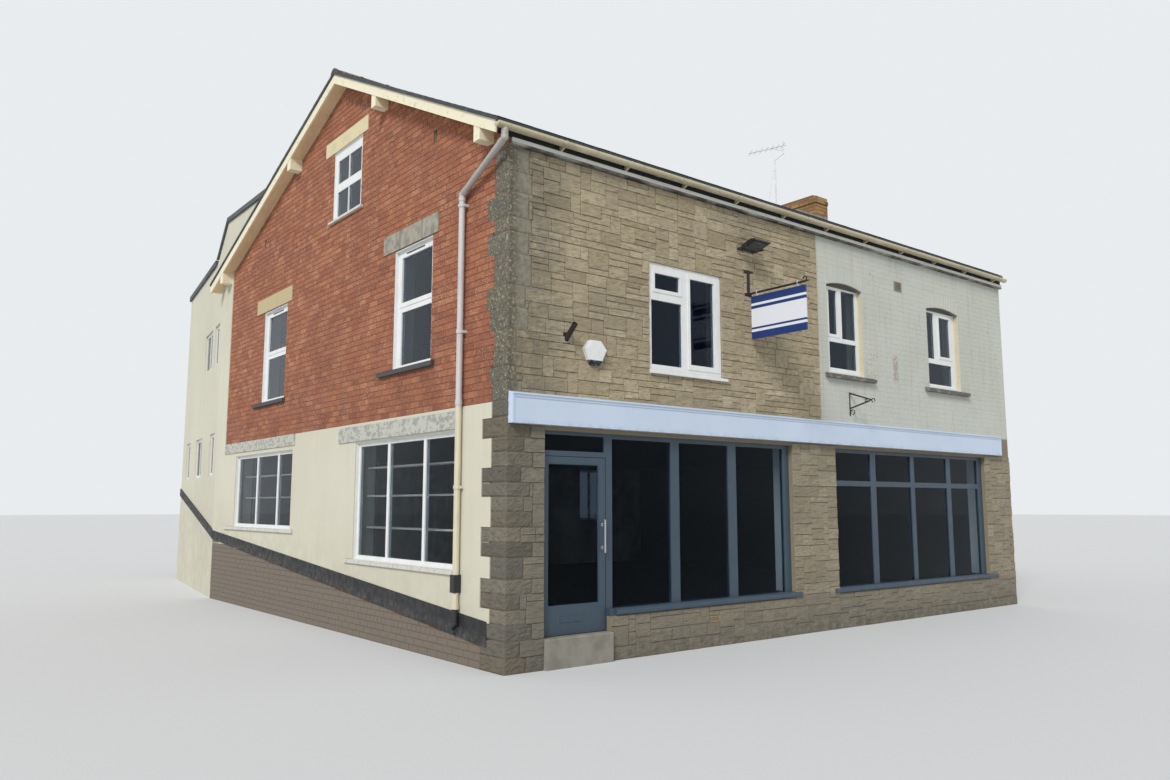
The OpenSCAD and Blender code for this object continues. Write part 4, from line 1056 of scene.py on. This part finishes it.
painted_holes = [(a, WINDOW_FOOT, b, WINDOW_HEAD) for a, b in arches]
painted_holes += [(7.735, 5.375, 7.95, 5.54)]  # the vent
painted_holes += [(a - FAN_OUT, FAN_FOOT, b + FAN_OUT, FAN_TOP) for a, b in arches]
painted = courses(PAINTED_FOOT, PAINTED_ROWS, lambda height: (SEAM, FRONT_END - 0.001),
                  painted_holes, depth=0.0036)
for a, b in arches:
    painted += fan(a, b)
laid("painted_bricks", [(FRONT, painted)], brick_unit, cream_brick, "painted_brick",
     **{"Arris": 0.0018, "Stand out": 0.0014, "Turn": 0.004, "Break": 0.002, "Break size": 0.03})

# %% [markdown]
# ## Split stone in mixed sizes
# The stone facing has blocks of one, two or three thin courses, set so that no long upright joint
# runs through. They are placed on a grid of thin rows: at the first free place from the bottom a
# random block goes in, as long and tall as it can be.

# %% Stones
CELL, THIN = 0.040, 0.0775  # a cell of the lattice, and a thin course
# How likely blocks of one, two and three courses are, and how many cells long each may be
FACING = (8, 6, 2), ((5, 12), (5, 10), (4, 8))
PIER = (1, 6, 3), ((4, 8), (5, 10), (5, 9))


def lattice(marks, step):
    """Grid lines through all marks, about a step apart."""
    lines = []
    for a, b in zip(marks, marks[1:]):
        parts = max(1, round((b - a) / step))
        lines += [a + (b - a) * k / parts for k in range(parts)]
    return lines + [marks[-1]]


def in_a_hole(u, v, holes):
    """Whether a point of the drawing lies in one of the holes."""
    return any(u0 < u < u1 and v0 < v < v1 for u0, v0, u1, v1 in holes)


def rubble(across, up, holes, seed, sizes=PIER, depth=0.012, joint=0.006):
    """Blocks of mixed size between the outermost marks, clear of the holes."""
    us, vs = lattice(across, CELL), lattice(up, THIN)
    rnd = random.Random(seed)
    taken = [
        [in_a_hole((u0 + u1) / 2, (v0 + v1) / 2, holes) for u0, u1 in zip(us, us[1:])]
        for v0, v1 in zip(vs, vs[1:])
    ]
    units = []
    for j, row in enumerate(taken):
        i = 0
        while i < len(row):
            if row[i]:
                i += 1
                continue
            run = 1
            while i + run < len(row) and not row[i + run]:
                run += 1
            tall = rnd.choices((1, 2, 3), sizes[0])[0]
            long = rnd.randint(*sizes[1][tall - 1])
            if run - long < 3:
                long = run if run < 12 else run // 2
            while tall > 1 and (j + tall > len(taken) or any(taken[j + tall - 1][i : i + long])):
                tall -= 1
            for k in range(j, j + tall):
                taken[k][i : i + long] = [True] * long
            u0, u1, v0, v1 = us[i], us[i + long], vs[j], vs[j + tall]
            wide, high = u1 - u0 - joint, v1 - v0 - joint
            units.append(((u0 + u1) / 2, (v0 + v1) / 2, -joint / 2, wide, high, depth))
            i += long
    return units


print("blocks of the facing are", FACING[1][0][0] * CELL, "m long or more")

# %% [markdown]
# The upper wall is one field, with the casement and the corner stones as holes. The ground floor
# has three piers and, under the two shop windows, two low walls. The marks make a grid line run
# along each edge, so that no stone is cut into a sliver.

# %% Facing of the front
RISER, BEAM = 0.512, 2.70  # tops of the low walls and of the piers
ON_BEAM, UNDER_EAVE = 3.034, 5.93  # foot and top of the upper wall
DOOR_SIDE, WINDOW_SIDE = 0.519, 1.491  # the doorway's left side, and the left window's
PIER_SIDES, LAST_PIER = (4.930, 5.955), 10.404
casement = (2.158, 3.524, 3.489, 4.919)
airbrick = (3.165, 0.305, 3.39, 0.39)
corner_faces = [(-1, low, face, top) for low, (top, _, face) in zip(LEVELS, CORNER)]
upper_marks = [ON_BEAM] + [z for z in LEVELS if ON_BEAM < z < 5.9] + [UNDER_EAVE]
pier_marks = [z for z in LEVELS if z < 2.6] + [BEAM]
upper_holes = [casement] + corner_faces
upper = rubble((0, casement[0], casement[2], SEAM), upper_marks, upper_holes, 11, FACING)
lower = rubble((0, DOOR_SIDE), pier_marks, corner_faces, 12)
lower += rubble((WINDOW_SIDE, airbrick[0], airbrick[2], PIER_SIDES[0]),
                (0, airbrick[1], airbrick[3], RISER), [airbrick], 13)
lower += rubble(PIER_SIDES, (0, BEAM), [], 14)
lower += rubble((PIER_SIDES[1], LAST_PIER), (0, RISER), [], 15)
lower += rubble((LAST_PIER, FRONT_END), (0, BEAM), [], 16)
rocky = {"Arris": 0.004, "Stand out": 0.010, "Turn": 0.008, "Break": 0.040, "Break size": 0.11}
laid("facing_stones", [(FRONT, upper)], stone_unit, buff_stone, "stone_facing", **rocky)
laid("pier_stones", [(FRONT, lower)], stone_unit, buff_stone, "stone_facing", **rocky)

# %% [markdown]
# ## The corner stones
# The corner is built of larger stones that show on both walls, long and short in turn. On
# the gable side a century of weather has eaten them to a pebbly face. Each is a bent shell with a
# fine grid, pushed in and out by two noises, and closed at the back.

# %% Corner stones
NOSE, GRID, UP_STEPS = 0.015, 0.022, 9  # reach of the corner's edge, and the grid of a face
RIM, SHELL = 0.003, 0.004  # how far a stone's rim stands out, and how far back it goes
FACE_PROUD = 0.010  # how far its face stands out on the front
COARSE, FINE = 13, 42  # how many swells of each noise go into a metre


def corner_path(side, face):
    """Stations of a bent stone from its end on the gable round to its end on the front."""
    on_side, on_face = round(side / GRID), round((face - 0.01) / GRID)
    path = [(NOSE + (side - NOSE) * (1 - i / on_side), 0.0) for i in range(on_side)]
    path += [(NOSE, 0.0), (0.0, 0.0), (0.0, NOSE)]
    return path + [(0.0, NOSE + (face - NOSE - RIM) * (i + 1) / on_face) for i in range(on_face)]


def corner_stones(name, stones, material, side_proud, side_relief, face_relief, stretch):
    """Bent stones round the corner: each (foot, top, reach on the gable, reach on the front)."""
    points, faces, tone = [], [], []
    rnd = random.Random(5)
    for foot, top_z, side, face in stones:
        z0, z1 = foot + RIM, top_z - RIM
        path = corner_path(side, face)
        shade, stations, start = rnd.random(), len(path), len(points)
        for j in range(UP_STEPS + 1):
            z = z0 + (z1 - z0) * j / UP_STEPS
            for n, (y, x) in enumerate(path):
                at = Vector((x, y, z * stretch))
                eaten = noise.noise(at * COARSE) * 0.6 + noise.noise(at * FINE) * 0.4
                out, proud = Vector((0, -1, 0)), FACE_PROUD + face_relief * eaten
                if y > 0:
                    out, proud = Vector((-1, 0, 0)), side_proud + side_relief * eaten
                if x == y == 0:
                    out = Vector((-0.2, -0.2, 0))
                if min(j, UP_STEPS - j, n, stations - 1 - n) == 0:
                    proud = RIM
                points.append(Vector((x, y, z)) + out * proud)
        back = len(points)
        for y, x in path:
            for z in (z0, z1):
                points.append(Vector((x + SHELL * (x == 0), y + SHELL * (y == 0), z)))
        for j in range(UP_STEPS):
            for n in range(stations - 1):
                a = start + j * stations + n
                faces.append((a, a + 1, a + 1 + stations, a + stations))
        for n in range(stations - 1):
            a, low, high = start + n, back + 2 * n, back + 2 * n + 1
            top = start + UP_STEPS * stations + n
            faces.append((a + 1, a, low, low + 2))
            faces.append((top, top + 1, high + 2, high))
            faces.append((low, high, high + 2, low + 2))
        for n in (0, stations - 1):
            line = [start + j * stations + n for j in range(UP_STEPS + 1)]
            cap = line + [back + 2 * n + 1, back + 2 * n]
            faces.append(tuple(cap if n == 0 else reversed(cap)))
        tone += [shade] * (len(points) - start)
    mesh = mesh_of(name, points, faces)
    keep(mesh, "tone", tone)
    mesh.materials.append(material)
    print(name, "stones", len(stones), "faces", len(faces))
    return own(name, mesh)


stones = [(low, *stone) for low, stone in zip(LEVELS, CORNER)]
low_stones = [stone for stone in stones if stone[1] < 3]
high_stones = [stone for stone in stones if stone[1] > 3]
corner_stones("corner_stones_low", low_stones, corner_stone,
              side_proud=0.015, side_relief=0.016, face_relief=0.016, stretch=2.0)
corner_stones("corner_stones_high", high_stones, dark_quoin,
              side_proud=0.010, side_relief=0.014, face_relief=0.005, stretch=1.0)

# %% [markdown]
# ## Chimney and party wall
# The brick of these two is laid over a copy of the solid that is drawn in by the depth of the
# joints, so that the wall keeps its size. The course below the chimney's top steps out.

# %% Cores of chimney and party wall
STACK = (10.885, 3.845, FRONT_END, 5.445)  # the chimney's plan: left, near, right, far
DRAWN_IN = 0.004
PARTY_FACE = FRONT_END - 0.0045  # the drawn-in face of the party wall


def backing(node, name, material, place):
    """A copy of a CAD node with its points put in new places; it stands for the node."""
    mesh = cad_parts[node].data.copy()
    body = bmesh.new()
    body.from_mesh(mesh)
    bmesh.ops.remove_doubles(body, verts=body.verts, dist=1e-5)
    for point in body.verts:
        point.co = place(point.co)
    body.to_mesh(mesh)
    body.free()
    mesh.materials.clear()
    mesh.materials.append(material)
    made = own(name, mesh)
    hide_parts(node)
    return made


def stack_core(at):
    """Towards the stack's middle by the depth of the joints."""
    east = math.copysign(DRAWN_IN, at.x - (STACK[0] + STACK[2]) / 2)
    north = math.copysign(DRAWN_IN, at.y - (STACK[1] + STACK[3]) / 2)
    return Vector((at.x - east, at.y - north, at.z))


def wall_core(at):
    """In from the party wall's face by the depth of the joints."""
    return Vector((min(at.x, PARTY_FACE), at.y, at.z))


backing("chimney", "chimney_core", lime_mortar, stack_core)
backing("party_wall", "party_wall_core", lime_mortar, wall_core)
print("cores drawn in by", DRAWN_IN)

# %% [markdown]
# Three sides of the stack are laid course by course. The fourth is flush with the party wall and
# goes with it. That wall is a blind side, so its bricks are plain blocks.

# %% Bricks of chimney and party wall
STACK_BED, STACK_ROWS = 8.0415, 7  # the stack's lowest bed, and its plain courses
STEP_OUT = 0.022  # how far the course above them steps out
right = STACK[2] - DRAWN_IN
sides = []
for first, rows, out in ((0, STACK_ROWS, 0.0), (STACK_ROWS, 1, STEP_OUT), (STACK_ROWS + 1, 1, 0.0)):
    low = STACK_BED + first * COURSE
    x0, y0, y1 = STACK[0] + DRAWN_IN - out, STACK[1] + DRAWN_IN - out, STACK[3] - DRAWN_IN + out
    for wall, ends in (
        (Matrix.Translation((x0, 0, 0)) @ GABLE, (y0, y1)),
        (Matrix.Translation((0, y0, 0)) @ FRONT, (x0, right)),
        (Matrix.Translation((0, y1, 0)) @ BACK, (x0, right)),
    ):
        sides.append((wall, courses(low, rows, lambda height: ends, [])))
laid("chimney_bricks", sides, brick_unit, stock_brick, "chimney_brick",
     **{"Arris": 0.003, "Stand out": 0.003, "Turn": 0.008, "Break": 0.004, "Break size": 0.03})
flat = {"Arris": 0.0015, "Stand out": 0.001, "Turn": 0.001, "Break": 0.0, "Break size": 0.03}
party = Matrix.Translation((PARTY_FACE, 0, 0)) @ PARTY
in_from, up_to = 0.02, DEPTH - 0.02
wall_rows = courses(FOOT_BED, ROWS, lambda height: under_roof(height, in_from, up_to), [], 0.005)
stack_ends = (STACK[1] + 0.01, STACK[3] - 0.01)
top_rows = courses(STACK_BED, STACK_ROWS + 2, lambda height: stack_ends, [], 0.005)
laid("party_bricks", [(party, wall_rows)], plain_unit, party_brick, "party_brick", **flat)
laid("stack_end_bricks", [(party, top_rows)], plain_unit, stock_brick, "chimney_brick", **flat)

# %% [markdown]
# ## Slates and ridge tiles
# Slates lie like scales: each one's tail rests on the two below it, so it leans by a degree or two.
# They are laid from the eave up, half a slate across in every other row. The ridge has half-round
# clay tiles, end to end.

# %% Slates
GAUGE, SLATE_W, SLATE_L, SLATE_T = 0.215, 0.255, 0.36, 0.006
SLATE_LIFT, SLATE_JOINT = 0.0015, 0.003  # how far slates lie over the solid, and apart
SHORT_SLATE = 0.04  # the least cut slate
GAP = 0.025  # the slates stop this far from the stack
VERGE = -0.235  # where they start, over the gable's verge
FRONT_RUN = math.hypot(RIDGE_Y - EAVE[0], RIDGE_Z - EAVE[1])
REAR_RUN = math.hypot(REAR[0] - RIDGE_Y, RIDGE_Z - REAR[1])


def slope(eave, sign):
    """The drawing plane of a roof slope: across along X, up towards the ridge."""
    run = Vector((0, RIDGE_Y - eave[0], RIDGE_Z - eave[1])).normalized()
    across = Vector(EAST) * sign
    wall = Matrix((across, run, across.cross(run))).transposed().to_4x4()
    wall.translation = Vector((0, *eave))
    return wall


def slates(length, left, right, holes):
    """Slates from the eave up, each row half a slate across from the last."""
    units = []
    for row in range(int(length / GAUGE)):
        low = row * GAUGE
        tall = min(SLATE_L, length - low)
        for a, b in clear(left, right, low + GAUGE / 2, holes):
            inner = cuts_in(a, b, SLATE_W, (row % 2) * SLATE_W / 2, SHORT_SLATE)
            for p, q in zip([a, *inner], [*inner, b]):
                wide = q - p - SLATE_JOINT
                units.append(((p + q) / 2, low + tall / 2, SLATE_LIFT, wide, tall, SLATE_T))
    return units


def up_slope(y, eave, run):
    """How far up a slope, from its eave, a point at this depth is."""
    return run * (y - eave[0]) / (RIDGE_Y - eave[0])


# Round the stack, and on the rear slope where the wing's roof and the dormer take over
past = 12  # beyond any end of the roof
front_holes = [(STACK[0] - GAP, up_slope(STACK[1] - GAP, EAVE, FRONT_RUN), past, past)]
rear_holes = [
    (-past, up_slope(STACK[3] + GAP, REAR, REAR_RUN), GAP - STACK[0], past),
    (-3.70, -1, 1, up_slope(7.25, REAR, REAR_RUN)),  # the dormer
    (-5.36, -1, 1, up_slope(10.40, REAR, REAR_RUN)),  # the wing's roof
]
right_end = FRONT_END - 0.001
front_slates = slates(FRONT_RUN, VERGE, right_end, front_holes)
rear_slates = slates(REAR_RUN, -right_end, -VERGE, rear_holes)
laid("roof_slates", [(slope(EAVE, 1), front_slates), (slope(REAR, -1), rear_slates)],
     plain_unit, roof_slate, "roof_slate",
     **{"Arris": 0.0012, "Stand out": 0.001, "Turn": 0.004, "Lean": -0.024, "Break": 0.0,
        "Break size": 0.1})

# %% [markdown]
# A ridge tile is a half-round shell with a raised collar at one end, which covers the joint to the
# next. The laying tree sets the tiles in a row, and a hair of turn makes the line a little uneven.

# %% Ridge tiles
TILES, TILE_STEPS = 25, 9
PAST_HALF = 12  # a tile is half round and this many degrees more at either side
TILE_SUNK = 0.066  # how far its centre lies below the ridge
TILE_L, TILE_T = 0.445, 0.014
TILE_RINGS = ((0.0, 0.119), (0.035, 0.119), (0.04, 0.111), (TILE_L, 0.109))  # (along, radius)


def ridge_tile():
    """A half-round tile with a raised collar at one end, as one closed shell."""
    points, faces = [], []
    for x, r in TILE_RINGS:
        for shell in (r, r - TILE_T):
            for k in range(TILE_STEPS + 1):
                a = math.radians(-PAST_HALF + (180 + 2 * PAST_HALF) * k / TILE_STEPS)
                points.append((x - TILE_L / 2, shell * math.cos(a), shell * math.sin(a)))
    row = TILE_STEPS + 1
    for i in range(len(TILE_RINGS) - 1):
        a, b = i * 2 * row, (i + 1) * 2 * row
        for k in range(TILE_STEPS):
            faces.append((a + k, b + k, b + k + 1, a + k + 1))
            faces.append((a + k + row, a + k + row + 1, b + k + row + 1, b + k + row))
        faces.append((a, a + row, b + row, b))
        c, d = a + TILE_STEPS, b + TILE_STEPS
        faces.append((d, d + row, c + row, c))
    last = (len(TILE_RINGS) - 1) * 2 * row
    for k in range(TILE_STEPS):
        faces.append((k, k + 1, k + 1 + row, k + row))
        faces.append((last + k, last + k + row, last + k + 1 + row, last + k + 1))
    return bpy.data.objects.new("ridge_unit", mesh_of("ridge_unit", points, faces))


pitch = (STACK[0] - VERGE) / TILES
stretch = pitch / (TILE_L + 0.002)
ridge = [(VERGE + (k + 0.5) * pitch, 0.0, 0.0, stretch, 1, 1) for k in range(TILES)]
on_ridge = Matrix.Translation((0, RIDGE_Y, RIDGE_Z - TILE_SUNK))
laid("ridge_tiles", [(on_ridge, ridge)], ridge_tile(), ridge_clay, "roof_slate",
     **{"Arris": 0.0, "Stand out": 0.0, "Turn": 0.006, "Break": 0.0, "Break size": 0.1})

# %% [markdown]
# ## Small trim
# What is left is folded, rolled or moulded to one profile: the lead round the stack, the felt that
# hangs behind the gutter, the collars that join its lengths, the vents in the window frames, the
# letter plate and the lens of the lamp. Each is a profile carried along straight runs.

# %% Profiles carried along runs


def carried(name, profile, runs, material, body="building"):
    """A closed profile along runs (start, end, direction across, direction up), as one mesh."""
    points, faces = [], []
    count = len(profile)
    for start, end, across, up in runs:
        first = len(points)
        for at in (start, end):
            points += [Vector(at) + Vector(across) * a + Vector(up) * b for a, b in profile]
        for k in range(count):
            n = (k + 1) % count
            faces.append((first + k, first + n, first + count + n, first + count + k))
        faces.append(tuple(range(first, first + count)))
        faces.append(tuple(range(first + 2 * count - 1, first + count - 1, -1)))
    mesh = mesh_of(name, points, faces)
    shape = bmesh.new()
    shape.from_mesh(mesh)
    bmesh.ops.recalc_face_normals(shape, faces=shape.faces)
    shape.to_mesh(mesh)
    shape.free()
    mesh.materials.append(material)
    print(name, "runs", len(runs), "faces", len(faces))
    return own(name, mesh, body)


print("ready to carry profiles")

# %% [markdown]
# Lead closes the roof round the stack: it lies on the slates and stands up against the bricks. Felt
# hangs from the eave into the gutter. Both are thin sheet that is only folded, so a profile of
# their real thickness is enough and no cloth is needed.

# %% Lead and felt


def front_top(y):
    """Height of the front slope at this depth."""
    return RIDGE_Z - (RIDGE_Y - y) * FRONT_PITCH


def rear_top(y):
    """Height of the rear slope at this depth."""
    return RIDGE_Z - (y - RIDGE_Y) * REAR_PITCH


# Lead is folded once: an apron that lies on the slates, and an upstand against the bricks
APRON, UPSTAND, LEAD_T, LIFT = 0.150, 0.150, 0.003, 0.016
lead = [(0.0, -0.002), (-APRON, -0.002), (-APRON - 0.002, 0.004),
        (-LEAD_T, 0.004), (-LEAD_T, UPSTAND), (0.0, UPSTAND)]
left, near, _, far = STACK
near_edge = [(x, near, front_top(near) + LIFT) for x in (left - 0.145, FRONT_END - 0.01)]
runs = [(*near_edge, Vector((0, 1, FRONT_PITCH)).normalized(), UP)]
for y, top in ((near, front_top), (far, rear_top)):
    runs.append(((left, y, top(y) + LIFT), (left, RIDGE_Y, top(RIDGE_Y) + LIFT), EAST, UP))
carried("stack_flashing", lead, runs, lead_sheet)

# Felt 3 mm thick hangs from the slates' edge down behind the gutter
felt = [(-0.044, 6.006), (-0.041, 6.006), (-0.041, 6.150), (-0.044, 6.150)]
eave_run = ((-0.2, 0, 0), (FRONT_END - 0.01, 0, 0), NORTH, UP)
carried("eave_felt", felt, [eave_run], roof_felt_dark)

# %% [markdown]
# The gutter comes in lengths, and a collar clasps each joint. The two upper windows of the gable
# have a hooded vent each. These are mouldings of one section, which could also be cut from a pipe
# or a box, but a carried profile has the fewest faces.

# %% Gutter collars and window vents
GUTTER_Y, GUTTER_Z = -0.127, 6.096
COLLAR_L, COLLAR_OUT, COLLAR_IN = 0.07, 0.0605, 0.0562
arc = [math.radians(180 + 15 * k) for k in range(13)]
collar = [(COLLAR_OUT * math.cos(a), COLLAR_OUT * math.sin(a)) for a in arc]
collar += [(COLLAR_IN * math.cos(a), COLLAR_IN * math.sin(a)) for a in reversed(arc)]
runs = [((x, GUTTER_Y, GUTTER_Z), (x + COLLAR_L, GUTTER_Y, GUTTER_Z), NORTH, UP)
        for x in (2.2, 5.3, 8.4)]
carried("gutter_collars", collar, runs, old_gutter)

# A hooded slot lets air in over each upper window of the gable
HOOD_X, HOOD_Z, HOOD_L = 0.041, 5.205, 0.493
hood = [(0.0, 0.0), (-0.006, 0.001), (-0.009, 0.006), (-0.007, 0.015), (0.0, 0.017)]
runs = [((HOOD_X, y, HOOD_Z), (HOOD_X, y + HOOD_L, HOOD_Z), EAST, UP) for y in (2.044, 7.129)]
carried("trickle_vents", hood, runs, black_casting)

# %% [markdown]
# A flat lens with bevelled edges closes the lamp, and a letter plate is screwed to the shop door.
# The lens could be a scaled cube, but the bevel is what catches light. The plate belongs to the
# door's body.

# %% Lens of the lamp and letter plate
# The lamp hangs at an angle, so its lens is drawn in the lamp's own directions
LAMP_AT, LAMP_TILT = (0, -0.090, 5.366), math.radians(-17)
lamp_turn = Matrix.Translation(LAMP_AT) @ Matrix.Rotation(LAMP_TILT, 4, "X")
lens_ends = [lamp_turn @ Vector((x, -0.030, -0.0005)) for x in (3.850, 4.156)]
lens_axes = [lamp_turn.to_3x3() @ Vector(axis) for axis in ((0, -1, 0), (0, 0, -1))]
lens = [(0.0, 0.0), (0.207, 0.0), (0.207, 0.0015), (0.190, 0.004), (0.017, 0.004), (0.0, 0.0015)]
carried("lamp_lens", lens, [(*lens_ends, *lens_axes)], lamp_glass)

# The plate has a raised rim round a sunk flap
PLATE_Z = 0.48
plate = [(0, 0), (-0.004, 0), (-0.006, 0.004), (-0.006, 0.012), (-0.003, 0.014), (-0.003, 0.076),
         (-0.006, 0.078), (-0.006, 0.086), (-0.004, 0.090), (0, 0.090)]
leaf_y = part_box("shop_door")[0][1]
plate_run = ((0.80, leaf_y, PLATE_Z), (1.135, leaf_y, PLATE_Z), NORTH, UP)
carried("letter_plate", plate, [plate_run], slate_blue, "door_leaf")

# %% [markdown]
# ## Studio
# The camera stands in front of the building's corner, a little under two metres up, and looks
# slightly upwards. Its place and lens were worked out from points on both walls.

# %% Camera
view = bpy.data.cameras.new("corner view")
view.lens, view.sensor_width, view.clip_end = 27.757, 36, 200
camera = show("corner view", view)
camera.location = (-5.537, -8.313, 1.816)
UPWARD, TO_RIGHT = 0.1265, 0.6746  # how far it looks up and to the right, in radians
camera.rotation_euler = (math.pi / 2 + UPWARD, 0, -TO_RIGHT)
bpy.context.scene.camera = camera
print("camera at", [round(x, 2) for x in camera.location], "with a lens of", round(view.lens, 1))

# %% [markdown]
# One large soft sun from the left and an even white sky light the building, at a level at which a
# colour comes out as it was picked. The eye, and what metal and glass mirror or let through, see
# a pale backdrop in place of that sky.

# %% Light
SUN_FROM = Vector((-0.70, -0.42, 0.60))
SKY_LEVEL = 0.55
sun = bpy.data.lights.new("soft sun", "SUN")
sun.energy, sun.angle = 2.3, math.radians(18)
show("soft sun", sun).rotation_euler = SUN_FROM.to_track_quat("Z", "Y").to_euler()

world = bpy.data.worlds.new("studio")
world.use_nodes = True
sky = world.node_tree
sky.nodes.clear()
rays = add(sky, "ShaderNodeLightPath").outputs
shown = 0
for ray in ("Is Camera Ray", "Is Glossy Ray", "Is Transmission Ray"):
    shown = add(sky, "ShaderNodeMath", {0: shown, 1: rays[ray]}, operation="MAXIMUM").outputs[0]
light = add(sky, "ShaderNodeBackground", {"Color": (1, 1, 1, 1), "Strength": SKY_LEVEL})
backdrop = add(sky, "ShaderNodeBackground", {"Color": linear("#E9ECEF"), "Strength": 1.0})
mixed = add(sky, "ShaderNodeMixShader", {0: shown, 1: light.outputs[0], 2: backdrop.outputs[0]})
add(sky, "ShaderNodeOutputWorld", {"Surface": mixed.outputs[0]})
bpy.context.scene.world = world
bpy.context.scene.view_settings.view_transform = "Standard"
print("sun", sun.energy, "sky", SKY_LEVEL)

# %% [markdown]
# The floor is a pale disc so wide that its rim reads as a horizon. A plane would do as well, but a
# round rim looks the same from every side. It belongs to the studio, not to the building.

# %% Floor
FLOOR_R, FLOOR_SIDES = 180, 96
turns = [2 * math.pi * k / FLOOR_SIDES for k in range(FLOOR_SIDES)]
disc = [(FLOOR_R * math.cos(a), FLOOR_R * math.sin(a), 0) for a in turns]
floor_mesh = mesh_of("studio_floor", disc, [tuple(range(FLOOR_SIDES))])
# Smooth matt paint: it shows shadows and no reflection
floor_mesh.materials.append(finish("pale_studio_floor", "#D4D6D7", 0.9))
show("studio_floor", floor_mesh)
print("floor disc", 2 * FLOOR_R, "m across")
